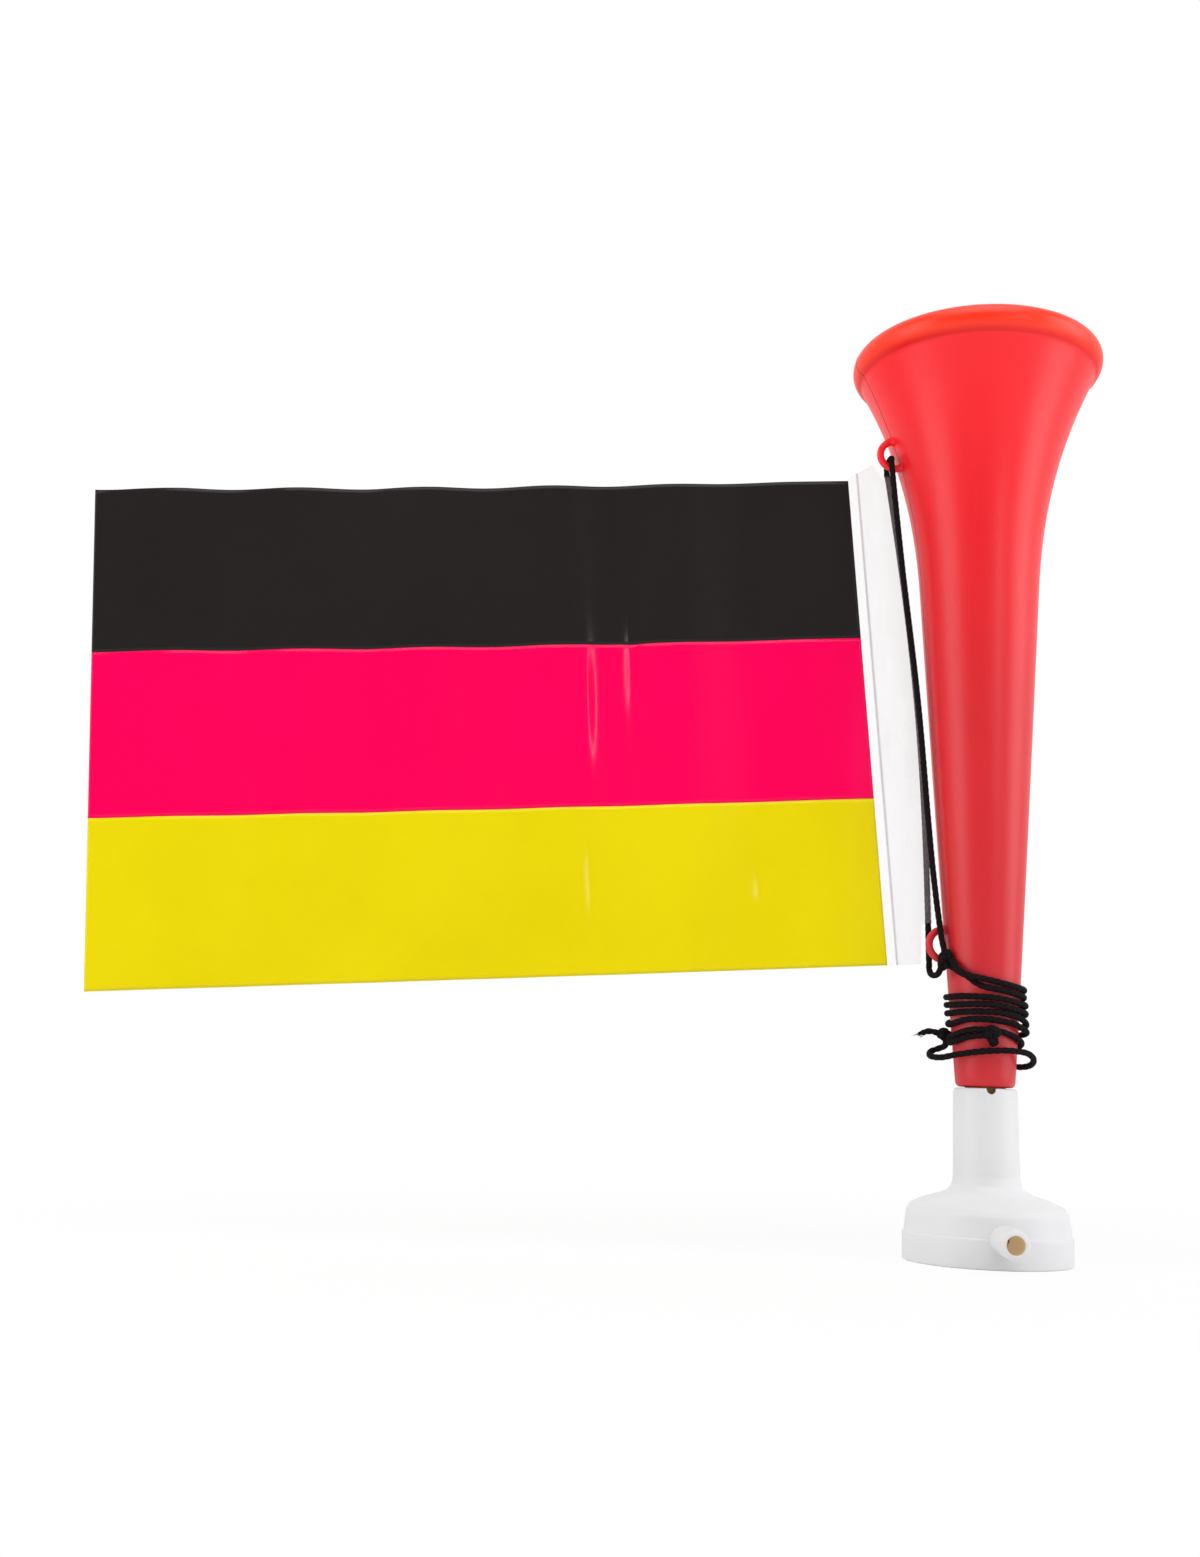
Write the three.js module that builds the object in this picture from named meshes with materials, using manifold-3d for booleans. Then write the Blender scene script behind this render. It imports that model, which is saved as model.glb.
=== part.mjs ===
// A stadium horn on a round sound head, with a striped film flag on a cord.
// Millimetres, +Z up. The origin is the centre of the head's flat underside.
// The blow tube points along -Y. The flag hangs off the left side, towards -X.
import * as THREE from 'three';
import { mergeVertices } from 'three/addons/utils/BufferGeometryUtils.js';
import Module from 'manifold-3d';

const wasm = await Module();
wasm.setup();

// Clearance between pieces that seat on each other.
const SEAT_GAP = 0.3;

// Horn: a stem that widens slowly, a flare, and a rolled lip.
const HORN_TOP_Z = 330;
const HORN_WALL = 1.5;
const STEM_FOOT_RADIUS = 10.05;
const STEM_SPREAD = 16.15;
const STEM_BOW = 0.94;
const FLARE_HEIGHT = 83.5;
const FLARE_BOW = 2.23;
const LIP_RADIUS = 45.9;
const LIP_ROLL_RADIUS = 5.6;
const LIP_START_DEG = -60;
const LIP_CURL_DEG = 115;
const FOOT_NOSE = 1.5;

// Cord eyes moulded on the left side of the horn.
const EYE_RING_RADIUS = 5.35;
const EYE_BAR_RADIUS = 1.3;
const LOWER_EYE_STAND_OFF = 0.67;
const UPPER_EYE_STAND_OFF = 0.9;
const LOWER_EYE_Z = 107;
const UPPER_EYE_DROP = 41.4;

// Sound head: skirt, tapered band, domed shoulder and neck in one moulding.
const SKIRT_RADIUS = 28.5;
const SKIRT_HEIGHT = 9.5;
const BAND_STEP = 0.5;
const BAND_TAPER = 0.9;
const BAND_TOP_Z = 16.4;
const DOME_RISE = 6.3;
const NECK_RADIUS = 11.2;
const NECK_TOP_Z = 57.9;
const NECK_FILLET = 4.5;
const NECK_WALL = 2.1;
const CHAMBER_RADIUS = 24.8;
const CHAMBER_ROOF = 2.1;
const NOTCH_RADIUS = 1.65;
const NOTCH_DEPTH = 2;

// Blow tube on the front of the head, with a tan liner behind its lip.
const BLOW_RADIUS = 4.7;
const BLOW_BORE_RADIUS = 3.7;
const BLOW_LIP_RADIUS = 3.05;
const BLOW_LIP_THICK = 1;
const LINER_WALL = 0.4;
const BLOW_AXIS_Z = 9.45;
const BLOW_TIP_Y = -45.3;
const BLOW_TIP_ROUND = 1.3;

// Diaphragm under the sound tube, and the cap that holds its rim.
const DIAPHRAGM_THICK = 0.35;
const DIAPHRAGM_TRAVEL = 0.4;
const LEDGE_Z = 5.4;
const CAP_REBATE_RADIUS = 26.7;
const CAP_FLOOR = 1.6;
const CAP_RIM_WIDTH = 2;
const VENT_RADIUS = 1.6;
const VENT_CIRCLE = 14;
const VENT_COUNT = 6;

// Sound tube: it seats on the diaphragm, passes the neck and plugs into the horn.
const TUBE_RADIUS = 6.9;
const TUBE_WALL = 1.2;
const TUBE_SPIGOT = 16;
const COLLAR_HEIGHT = 3;
const COLLAR_DROP = 4;
const SNAP_BEAD = 0.85;

// Flag and cord group: turned about the horn, and hinged on the hoist strand.
const FLAG_TURN_DEG = 5.9;
const HOIST_OUT_LOW = 4.95;
const HOIST_OUT_HIGH = 2.44;
const HOIST_BACK_Y = 3.4;
const HOIST_END_DROP = 5.2;
const HOIST_SLACK = 3.6;
const CORD_DIAMETER = 2.5;

// Flag: three bands of one film, welded to a clear sleeve.
const FILM_THICK = 0.15;
const FLAG_LENGTH = 275.5;
const FLAG_SHORT_OF_EYES = 2.6;
const FLAG_DROP = 7.5;
const FLAG_RISE_TO_FLY = 3;
const FLAG_SAG = 2.6;
const FLAG_WAVE = 1.2;
const FLAG_WAVE_LENGTH = 46;
const HEM_WIDTH = 15.1;
const WELD_INSET = 3.6;
const SLEEVE_TOP_SLOPE = 0.48;
const EYE_RELIEF_LOW = 5.9;
const EYE_RELIEF_HIGH = 7.2;
const EYE_RELIEF_REACH = 20;

// Smoothness of the round pieces.
const ROUND_STEPS = 44;
const TUBE_STEPS = 32;
const BORE_STEPS = 24;

const RAD = Math.PI / 180;
const cordRadius = CORD_DIAMETER / 2;

// Heights that follow from the sizes above.
const hornFootZ = NECK_TOP_Z + SEAT_GAP;
const lipCentreZ = HORN_TOP_Z - LIP_ROLL_RADIUS;
const lipCentreRadius = LIP_RADIUS - LIP_ROLL_RADIUS;
const flareTopZ = lipCentreZ + LIP_ROLL_RADIUS * Math.sin(LIP_START_DEG * RAD);
const flareTopRadius = lipCentreRadius + LIP_ROLL_RADIUS * Math.cos(LIP_START_DEG * RAD);
const flareSpread = flareTopRadius - STEM_FOOT_RADIUS - STEM_SPREAD;
const flareFootZ = flareTopZ - FLARE_HEIGHT;
const diaphragmTopZ = LEDGE_Z - SEAT_GAP;
const diaphragmFootZ = diaphragmTopZ - DIAPHRAGM_THICK;
const capRimZ = diaphragmFootZ - DIAPHRAGM_TRAVEL - SEAT_GAP;
const collarTopZ = NECK_TOP_Z - COLLAR_DROP;
const collarFootZ = collarTopZ - COLLAR_HEIGHT;
const hornHoleRadius = TUBE_RADIUS + SEAT_GAP;
const neckBoreRadius = NECK_RADIUS - NECK_WALL;
const collarRadius = neckBoreRadius - SEAT_GAP;
const neckThroatRadius = (TUBE_RADIUS + collarRadius) / 2 + SEAT_GAP;

// Outer radius of the horn at a height: a slow power curve plus the flare.
function hornRadius(z) {
  const along = Math.max(0, (z - hornFootZ) / (flareTopZ - hornFootZ));
  const flare = Math.max(0, (z - flareFootZ) / FLARE_HEIGHT);
  return STEM_FOOT_RADIUS + STEM_SPREAD * along ** STEM_BOW + flareSpread * flare ** FLARE_BOW;
}

// Centres of the two eyes, in the flag group's plane. The flag fits between them.
const upperEyeZ = HORN_TOP_Z - UPPER_EYE_DROP;
const upperEyeX = -(hornRadius(upperEyeZ) + UPPER_EYE_STAND_OFF);
const lowerEyeX = -(hornRadius(LOWER_EYE_Z) + LOWER_EYE_STAND_OFF);
const flagHeight = upperEyeZ - LOWER_EYE_Z - FLAG_SHORT_OF_EYES;

// The hoist line starts level with the lower eye and leans out to pass the upper one.
const hoistFootX = lowerEyeX - HOIST_OUT_LOW;
const hoistFootZ = LOWER_EYE_Z + 1;
const hoistLean = Math.atan2(hoistFootX - (upperEyeX - HOIST_OUT_HIGH), upperEyeZ - hoistFootZ);

// Points of an arc in the profile plane, angles in degrees.
function arcPoints(radius, z, size, from, to, steps) {
  const points = [];
  for (let i = 0; i <= steps; i += 1) {
    const angle = (from + ((to - from) * i) / steps) * RAD;
    points.push([radius + size * Math.cos(angle), z + size * Math.sin(angle)]);
  }
  return points;
}

// A profile of [radius, height] pairs turned about the Z axis.
function turned(pairs, steps = ROUND_STEPS) {
  const profile = pairs.map(([radius, z]) => new THREE.Vector2(radius, z));
  const geometry = new THREE.LatheGeometry(profile, steps);
  geometry.rotateX(Math.PI / 2);
  return geometry;
}

// The same for a ring, whose profile goes round and closes on itself.
function turnedRing(pairs, steps = ROUND_STEPS) {
  return turned([...pairs, pairs[0]], steps);
}

// Position-only geometry with shared vertices, facing outwards.
function welded(geometry) {
  const bare = geometry.clone();
  bare.deleteAttribute('normal');
  bare.deleteAttribute('uv');
  const merged = mergeVertices(bare, 1e-4);
  const index = Array.from(merged.index.array);
  const at = merged.attributes.position;
  const kept = [];
  let volume = 0;
  const a = new THREE.Vector3();
  const b = new THREE.Vector3();
  const c = new THREE.Vector3();
  for (let i = 0; i < index.length; i += 3) {
    const [p, q, r] = index.slice(i, i + 3);
    if (p === q || q === r || r === p) continue;
    kept.push(p, q, r);
    a.fromBufferAttribute(at, p);
    b.fromBufferAttribute(at, q);
    c.fromBufferAttribute(at, r);
    volume += a.dot(b.cross(c));
  }
  merged.setIndex(volume < 0 ? kept.reverse() : kept);
  return merged;
}

// To and from the solids that can be joined and cut.
function solid(geometry) {
  const merged = welded(geometry);
  return new wasm.Manifold(new wasm.Mesh({
    numProp: 3,
    vertProperties: new Float32Array(merged.attributes.position.array),
    triVerts: new Uint32Array(merged.index.array),
  }));
}

function fromSolid(shape) {
  const mesh = shape.getMesh();
  const geometry = new THREE.BufferGeometry();
  geometry.setAttribute('position', new THREE.BufferAttribute(new Float32Array(mesh.vertProperties), 3));
  geometry.setIndex(new THREE.BufferAttribute(new Uint32Array(mesh.triVerts), 1));
  return geometry;
}

// Cord path of a smooth curve through points, swept with a round section.
function cordPath(points) {
  const places = points.map(([x, y, z]) => new THREE.Vector3(x, y, z));
  return new THREE.CatmullRomCurve3(places, false, 'centripetal');
}

function cordTube(path, steps, sides = 8) {
  const section = new THREE.Shape();
  for (let i = 0; i < sides; i += 1) {
    const angle = (2 * Math.PI * i) / sides;
    const place = [cordRadius * Math.cos(angle), cordRadius * Math.sin(angle)];
    if (i === 0) section.moveTo(...place);
    else section.lineTo(...place);
  }
  section.closePath();
  return new THREE.ExtrudeGeometry(section, { steps, extrudePath: path, bevelEnabled: false });
}

// Least space between a cord and itself, or another cord, measured on points.
function leastGap(path, other = path) {
  const count = 400;
  const own = path.getSpacedPoints(count);
  const others = other === path ? own : other.getSpacedPoints(count);
  const spare = Math.ceil((4 * CORD_DIAMETER * count) / path.getLength());
  let least = Infinity;
  own.forEach((point, i) => {
    others.forEach((place, j) => {
      if (other === path && Math.abs(i - j) < spare) return;
      least = Math.min(least, point.distanceTo(place));
    });
  });
  return least - CORD_DIAMETER;
}

// The horn's wall, from its turned-in foot up to the roll and back down inside.
function hornWall() {
  const outer = [];
  const inner = [];
  const stations = 14;
  for (let i = 0; i <= stations; i += 1) {
    const share = 1 - (1 - i / stations) ** 1.7;
    const z = hornFootZ + FOOT_NOSE + (flareTopZ - hornFootZ - FOOT_NOSE) * share;
    const slope = Math.atan((hornRadius(z + 0.5) - hornRadius(z - 0.5)));
    outer.push([hornRadius(z), z]);
    if (z > hornFootZ + 2 * FOOT_NOSE) {
      inner.push([hornRadius(z) - HORN_WALL * Math.cos(slope), z + HORN_WALL * Math.sin(slope)]);
    }
  }
  const roll = arcPoints(lipCentreRadius, lipCentreZ, LIP_ROLL_RADIUS, LIP_START_DEG, LIP_CURL_DEG, 9);
  const insideStart = LIP_START_DEG + 10;
  const insideRadius = LIP_ROLL_RADIUS - HORN_WALL;
  const rollInside = arcPoints(lipCentreRadius, lipCentreZ, insideRadius, LIP_CURL_DEG, insideStart, 6);
  const footInside = hornRadius(hornFootZ) - HORN_WALL;
  const foot = [
    [footInside, hornFootZ + FOOT_NOSE + 1],
    [hornHoleRadius, hornFootZ + FOOT_NOSE],
    [hornHoleRadius, hornFootZ],
    [hornHoleRadius + 0.6, hornFootZ],
    [STEM_FOOT_RADIUS - 0.6, hornFootZ + 0.3 * FOOT_NOSE],
    [STEM_FOOT_RADIUS - 0.1, hornFootZ + 0.65 * FOOT_NOSE],
  ];
  return [...foot, ...outer, ...roll.slice(1), ...rollInside, ...inner.reverse()];
}

// The horn filled in and grown by the seat gap: what the eyes are cut back by.
function hornEnvelope() {
  const profile = [[0, hornFootZ]];
  for (let z = hornFootZ; z <= flareTopZ; z += 8) profile.push([hornRadius(z) + SEAT_GAP, z]);
  profile.push([0, profile.at(-1)[1]]);
  return turned(profile);
}

// A round bar bent into a ring, cut back to the horn's side.
function cordEye(x, z) {
  const ring = new THREE.TorusGeometry(EYE_RING_RADIUS, EYE_BAR_RADIUS, 10, 28);
  ring.rotateX(Math.PI / 2);
  ring.translate(x, 0, z);
  return fromSolid(solid(ring).subtract(solid(hornEnvelope())));
}

// The head's outside, from its underside up the dome and neck.
function headOutside() {
  const bandRadius = SKIRT_RADIUS - BAND_STEP;
  const shoulder = bandRadius - BAND_TAPER;
  const domeFoot = BAND_TOP_Z + 2;
  const domeTop = BAND_TOP_Z + DOME_RISE;
  return [
    [0, 0],
    [SKIRT_RADIUS - 0.8, 0],
    [SKIRT_RADIUS - 0.1, 0.8],
    [SKIRT_RADIUS, SKIRT_HEIGHT - 0.5],
    [SKIRT_RADIUS - 0.15, SKIRT_HEIGHT],
    [bandRadius, SKIRT_HEIGHT + 0.05],
    [shoulder, BAND_TOP_Z],
    [shoulder - 0.35, BAND_TOP_Z + 1.4],
    [shoulder - 1.2, domeFoot + 0.3],
    [shoulder - 5.8, domeTop - 1.9],
    [NECK_RADIUS + NECK_FILLET, domeTop - 0.2],
    [NECK_RADIUS + 0.42 * NECK_FILLET, domeTop + 0.9],
    [NECK_RADIUS + 0.12 * NECK_FILLET, domeTop + 0.6 * NECK_FILLET],
    [NECK_RADIUS, domeTop + 1.2 * NECK_FILLET],
    [NECK_RADIUS - 0.3, NECK_TOP_Z - 1.2],
    [NECK_RADIUS - 0.7, NECK_TOP_Z - 0.3],
    [NECK_RADIUS - 1.3, NECK_TOP_Z],
    [0, NECK_TOP_Z],
  ];
}

// The hollow inside: cap rebate, chamber, throat and the collar's seat.
function headHollow() {
  const roofZ = BAND_TOP_Z + DOME_RISE - CHAMBER_ROOF;
  return [
    [0, -1],
    [CAP_REBATE_RADIUS, -1],
    [CAP_REBATE_RADIUS, LEDGE_Z],
    [CHAMBER_RADIUS, LEDGE_Z],
    [CHAMBER_RADIUS, BAND_TOP_Z - 0.8],
    [CHAMBER_RADIUS - 1.6, BAND_TOP_Z + 0.7],
    [CHAMBER_RADIUS - 4.6, roofZ - 1.9],
    [NECK_RADIUS + NECK_FILLET - 0.8, roofZ - 0.2],
    [neckThroatRadius + 0.5, roofZ + 2],
    [neckThroatRadius, roofZ + 5],
    [neckThroatRadius, collarFootZ - SEAT_GAP],
    [neckBoreRadius, collarFootZ - SEAT_GAP],
    [neckBoreRadius, NECK_TOP_Z + 1],
    [0, NECK_TOP_Z + 1],
  ];
}

// A turned profile laid along -Y at the blow tube's height.
function alongBlowAxis(pairs, steps) {
  const geometry = turned(pairs, steps);
  geometry.rotateX(Math.PI / 2);
  geometry.translate(0, 0, BLOW_AXIS_Z);
  return geometry;
}

function soundHead() {
  const tip = -BLOW_TIP_Y;
  const root = CHAMBER_RADIUS + 0.4;
  const rod = alongBlowAxis([
    [0, root],
    [BLOW_RADIUS, root],
    [BLOW_RADIUS, tip - BLOW_TIP_ROUND],
    ...arcPoints(BLOW_RADIUS - BLOW_TIP_ROUND, tip - BLOW_TIP_ROUND, BLOW_TIP_ROUND, 30, 90, 2),
    [0, tip],
  ], BORE_STEPS);
  const bore = alongBlowAxis([
    [0, CHAMBER_RADIUS - 4],
    [BLOW_BORE_RADIUS, CHAMBER_RADIUS - 4],
    [BLOW_BORE_RADIUS, tip - BLOW_LIP_THICK],
    [BLOW_LIP_RADIUS, tip - BLOW_LIP_THICK],
    [BLOW_LIP_RADIUS, tip + 1],
    [0, tip + 1],
  ], BORE_STEPS);
  const notch = new THREE.CylinderGeometry(NOTCH_RADIUS, NOTCH_RADIUS, 2 * NECK_WALL + 2, 20);
  notch.translate(0, -(NECK_RADIUS - NECK_WALL / 2), NECK_TOP_Z - NOTCH_DEPTH + NOTCH_RADIUS);
  const body = solid(turned(headOutside())).add(solid(rod));
  return fromSolid(body.subtract(solid(turned(headHollow()))).subtract(solid(bore)).subtract(solid(notch)));
}

// Liner of the blow tube, pushed in from the chamber up to the lip.
function blowLiner() {
  const outer = BLOW_BORE_RADIUS - SEAT_GAP;
  const from = CHAMBER_RADIUS + SEAT_GAP;
  const to = -BLOW_TIP_Y - BLOW_LIP_THICK - SEAT_GAP;
  const ring = [[outer, from], [outer, to], [outer - LINER_WALL, to], [outer - LINER_WALL, from]];
  return alongBlowAxis([...ring, ring[0]], BORE_STEPS);
}

function soundTube() {
  const bore = TUBE_RADIUS - TUBE_WALL;
  const beadFootZ = hornFootZ + FOOT_NOSE + SEAT_GAP;
  const topZ = NECK_TOP_Z + TUBE_SPIGOT;
  return turnedRing([
    [bore, LEDGE_Z],
    [TUBE_RADIUS, LEDGE_Z],
    [TUBE_RADIUS, collarFootZ],
    [collarRadius, collarFootZ],
    [collarRadius, collarTopZ],
    [TUBE_RADIUS, collarTopZ],
    [TUBE_RADIUS, beadFootZ],
    [TUBE_RADIUS + SNAP_BEAD, beadFootZ + 0.4],
    [TUBE_RADIUS + SNAP_BEAD, beadFootZ + 0.9],
    [TUBE_RADIUS, beadFootZ + 1.6],
    [TUBE_RADIUS, topZ - 0.8],
    [TUBE_RADIUS - 0.5, topZ],
    [bore, topZ],
  ], TUBE_STEPS);
}

function diaphragm() {
  const radius = CAP_REBATE_RADIUS - SEAT_GAP;
  return turned([[0, diaphragmFootZ], [radius, diaphragmFootZ], [radius, diaphragmTopZ], [0, diaphragmTopZ]]);
}

function baseCap() {
  const radius = CAP_REBATE_RADIUS - SEAT_GAP;
  const dish = turned([
    [0, 0],
    [radius - 0.4, 0],
    [radius, 0.4],
    [radius, capRimZ],
    [radius - CAP_RIM_WIDTH, capRimZ],
    [radius - CAP_RIM_WIDTH, CAP_FLOOR],
    [0, CAP_FLOOR],
  ]);
  let cap = solid(dish);
  for (let i = 0; i < VENT_COUNT; i += 1) {
    const vent = turned([[0, -1], [VENT_RADIUS, -1], [VENT_RADIUS, CAP_FLOOR + 1], [0, CAP_FLOOR + 1]], 16);
    const angle = (2 * Math.PI * (i + 0.5)) / VENT_COUNT;
    vent.translate(VENT_CIRCLE * Math.cos(angle), VENT_CIRCLE * Math.sin(angle), 0);
    cap = cap.subtract(solid(vent));
  }
  return fromSolid(cap);
}

// A place on the flag: distance out from the hoist strand, height along it, depth.
function flagPlace(out, up, depth) {
  return [
    hoistFootX - out * Math.cos(hoistLean) - up * Math.sin(hoistLean),
    HOIST_BACK_Y + depth,
    hoistFootZ + up * Math.cos(hoistLean) - out * Math.sin(hoistLean),
  ];
}

// How far the slack hoist strand, and the film's fold round it, bow towards the horn.
const hoistFootUp = -HOIST_END_DROP;
const hoistTopUp = upperEyeZ - EYE_RING_RADIUS - EYE_BAR_RADIUS - SEAT_GAP - hoistFootZ;

function hoistBow(up) {
  const share = (up - hoistFootUp) / (hoistTopUp - hoistFootUp);
  return HOIST_SLACK * Math.sin(Math.PI * Math.min(1, Math.max(0, share)));
}

// Depth of the film behind the hoist: a shallow belly with waves that grow upwards.
function flagDepth(out, heightShare) {
  const along = Math.min(1, Math.max(0, (out - HEM_WIDTH) / FLAG_LENGTH));
  const ease = Math.min(1, along / 0.12) ** 2;
  const belly = FLAG_SAG * Math.sin(Math.PI * along);
  const wave = FLAG_WAVE * (0.3 + 0.7 * heightShare) * Math.sin((2 * Math.PI * out) / FLAG_WAVE_LENGTH);
  return ease * (belly + wave);
}

// Lower edge of the flag, which rises a little towards the fly.
function flagFoot(out) {
  return -FLAG_DROP + (FLAG_RISE_TO_FLY * Math.max(0, out - HEM_WIDTH)) / FLAG_LENGTH;
}

function moveVertices(geometry, rule) {
  const at = geometry.attributes.position;
  for (let i = 0; i < at.count; i += 1) {
    at.setXYZ(i, ...rule(at.getX(i), at.getY(i), at.getZ(i)));
  }
  return geometry;
}

// One colour band, counted from the bottom, as a thin waved sheet.
function flagBand(number) {
  const sheet = new THREE.BoxGeometry(1, FILM_THICK, 1, 36, 1, 2);
  return moveVertices(sheet, (x, y, z) => {
    const out = HEM_WIDTH + (x + 0.5) * FLAG_LENGTH;
    const heightShare = (number + z + 0.5) / 3;
    return flagPlace(out, flagFoot(out) + heightShare * flagHeight, flagDepth(out, heightShare) + y);
  });
}

// A block in the flag's own directions, used to cut the sleeve clear of the eyes.
function reliefBlock(reach, upFrom, upTo) {
  const block = new THREE.BoxGeometry(2 * reach, 4 * cordRadius + 4, upTo - upFrom);
  return solid(moveVertices(block, (out, depth, up) => flagPlace(out, (upFrom + upTo) / 2 + up, depth)));
}

// Sleeve: film wrapped round the hoist strand and welded to itself, with a flat hem.
function flagSleeve() {
  const half = FILM_THICK / 2;
  const foldRadius = cordRadius + SEAT_GAP;
  const weld = HEM_WIDTH - WELD_INSET;
  const weldOuter = weld + 4 * FILM_THICK;
  const tangent = Math.acos(foldRadius / weld) / RAD;
  const fold = (radius) => arcPoints(0, 0, radius, -tangent, tangent - 360, 12);
  const outside = [
    [HEM_WIDTH, -half],
    [weldOuter, -half],
    ...fold(foldRadius + FILM_THICK),
    [weldOuter, half],
    [HEM_WIDTH, half],
  ];
  const inside = [[weld, 0], ...fold(foldRadius)].reverse();
  const section = new THREE.Shape(outside.map((pair) => new THREE.Vector2(...pair)));
  section.holes.push(new THREE.Path(inside.map((pair) => new THREE.Vector2(...pair))));
  const tunnel = new THREE.ExtrudeGeometry(section, { depth: 1, steps: 8, bevelEnabled: false });
  moveVertices(tunnel, (out, depth, share) => {
    const foot = flagFoot(out);
    const top = flagFoot(HEM_WIDTH) + flagHeight + (HEM_WIDTH - out) * SLEEVE_TOP_SLOPE;
    const up = foot + (top - foot) * share;
    const slack = hoistBow(up) * Math.max(0, 1 - Math.max(0, out) / weld);
    return flagPlace(out - slack, up, depth);
  });
  const lowerTop = LOWER_EYE_Z + EYE_RING_RADIUS + EYE_BAR_RADIUS + 3 * SEAT_GAP - hoistFootZ;
  const upperFoot = upperEyeZ - EYE_RING_RADIUS - EYE_BAR_RADIUS - 2 * SEAT_GAP - hoistFootZ;
  const lower = reliefBlock(EYE_RELIEF_LOW, lowerTop - 2 * EYE_RELIEF_REACH, lowerTop);
  const upper = reliefBlock(EYE_RELIEF_HIGH, upperFoot, upperFoot + EYE_RELIEF_REACH);
  return fromSolid(solid(tunnel).subtract(lower).subtract(upper));
}

// Cord places round the stem, as azimuth in degrees and height.
function roundStem(azimuth, z, lift = 0) {
  const radius = hornRadius(z) + cordRadius + 1.3 * SEAT_GAP + lift;
  return [radius * Math.cos(azimuth * RAD), radius * Math.sin(azimuth * RAD), z];
}

// The two cord ends wind side by side down the stem from the lower eye's knot.
// Their lead-in lists give azimuth and height.
const WIND_START_DEG = -17;
const WIND_START_Z = 91.4;
const WIND_PITCH = 5.7;
const WIND_STEPS = 24;

function windingPath(leadIn, drop, turns) {
  const points = leadIn.map(([azimuth, z]) => roundStem(azimuth, z));
  const count = Math.round(turns * WIND_STEPS);
  for (let i = 0; i <= count; i += 1) {
    const share = i / WIND_STEPS;
    points.push(roundStem(WIND_START_DEG + 360 * share, WIND_START_Z - drop - WIND_PITCH * share));
  }
  return cordPath(points);
}

const LEAD_IN_A = [[-152, 101.6], [-143, 99.6], [-128, 96.6], [-108, 94], [-80, 92.7], [-48, 91.9]];
const LEAD_IN_B = [[-161, 96.6], [-151, 94.7], [-135, 92.4], [-111, 90.5], [-80, 89.7], [-48, 89.1]];
const windingA = windingPath(LEAD_IN_A, 0, 2.4);
const windingB = windingPath(LEAD_IN_B, WIND_PITCH / 2, 2.3);

// A knot's outer form: a squashed ball at a place.
function knotBall(place, size) {
  const ball = new THREE.SphereGeometry(1, 10, 6);
  ball.scale(...size);
  ball.translate(...place);
  return ball;
}

// The waist knot: a strand across the front with the knot and its short lobe on it.
function bowTurn() {
  const points = [
    [-172, 74.9], [-160, 75], [-142, 75.3], [-122, 75.5], [-102, 75.4],
    [-82, 75.1], [-62, 74.6], [-40, 74], [-18, 73.4], [-6, 73.1],
  ].map(([azimuth, z]) => roundStem(azimuth, z));
  const strand = solid(cordTube(cordPath(points), 18));
  const knot = knotBall(roundStem(-92, 75.2, 0.6), [2.6, 1.8, 1.9]);
  const lobe = knotBall(roundStem(-91, 72.9, 0.5), [1.5, 1.4, 1.7]);
  return fromSolid(strand.add(solid(knot)).add(solid(lobe)));
}

// Routes of the straight and loose stretches, in the flag group's own frame.
// Stations of the front strand: share of the way up, sway outwards and depth.
const FRONT_STATIONS = [
  [1, 0, -2.9], [0.98, 0, -2.9], [0.77, 0.1, -2.95], [0.49, -0.4, -3], [0.26, 0.4, -3],
  [0.165, 0.6, -3], [0.09, 0.5, -3.05], [0.044, 0.3, -3.2], [0.018, 0.25, -3.7], [0, 0, -4.1],
];
const FRONT_STRAND = FRONT_STATIONS.map(([share, sway, depth]) => {
  const foot = [lowerEyeX - 1.25, LOWER_EYE_Z - 1.8];
  const top = [upperEyeX - 1.84, upperEyeZ - 4.9];
  return [foot[0] + (top[0] - foot[0]) * share - sway, depth, foot[1] + (top[1] - foot[1]) * share];
});

// The turns at the eyes are placed from each eye's centre.
const atUpperEye = ([x, y, z]) => [upperEyeX + x, y, upperEyeZ + z];
const atLowerEye = ([x, y, z]) => [lowerEyeX + x, y, LOWER_EYE_Z + z];
const UPPER_TURN = [
  [-1.91, -2.9, -4], [-1.79, -2.65, -3], [-1.64, -1.7, -2], [-1.54, 0, -1.6],
  [-1.79, 1.8, -2.1], [-2.19, 3, -3.6], [-2.39, 3.4, -5.4], [-2.29, 3.4, -6.4],
].map(atUpperEye);
const EYE_LOOP = [
  [-4.4, 3.4, -4.7], [-4.45, 3.4, -6.4], [-4.55, 3.1, -8.4], [-4.35, 1.9, -10.1],
  [-3.75, -0.3, -10.9], [-3.15, -2.4, -10.6], [-2.85, -3.9, -9.7], [-2.65, -4.3, -8.9],
].map(atLowerEye);
const EYE_KNOT = atLowerEye([-0.85, -4.5, -5.8]);
const LOW_TURN = [
  [-12.5, 4.6, 72.1], [-14, 7.4, 71.2], [-16.3, 8, 70.1], [-18.1, 5.4, 68.9],
  [-18.3, 1.6, 68], [-16.1, -2.8, 67.7],
  [-12.1, -7.3, 68.5], [-6.4, -11.3, 69.2], [0, -13.3, 69.6], [5.9, -13.1, 69.7], [11.5, -10.8, 69.2],
  [15.7, -6.3, 68.1], [16.9, -0.7, 66.9], [14.8, 5.1, 66.5], [9.9, 9.5, 67.1], [3.4, 12.4, 68.5],
  [-2.9, 12.6, 70], [-8.1, 10.6, 71.4],
];
const TAIL = [[-15.5, 3.9, 76.5], [-17.2, 4.2, 76.9], [-19, 4.5, 76.9], [-21.2, 4.9, 76.1]];

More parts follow.
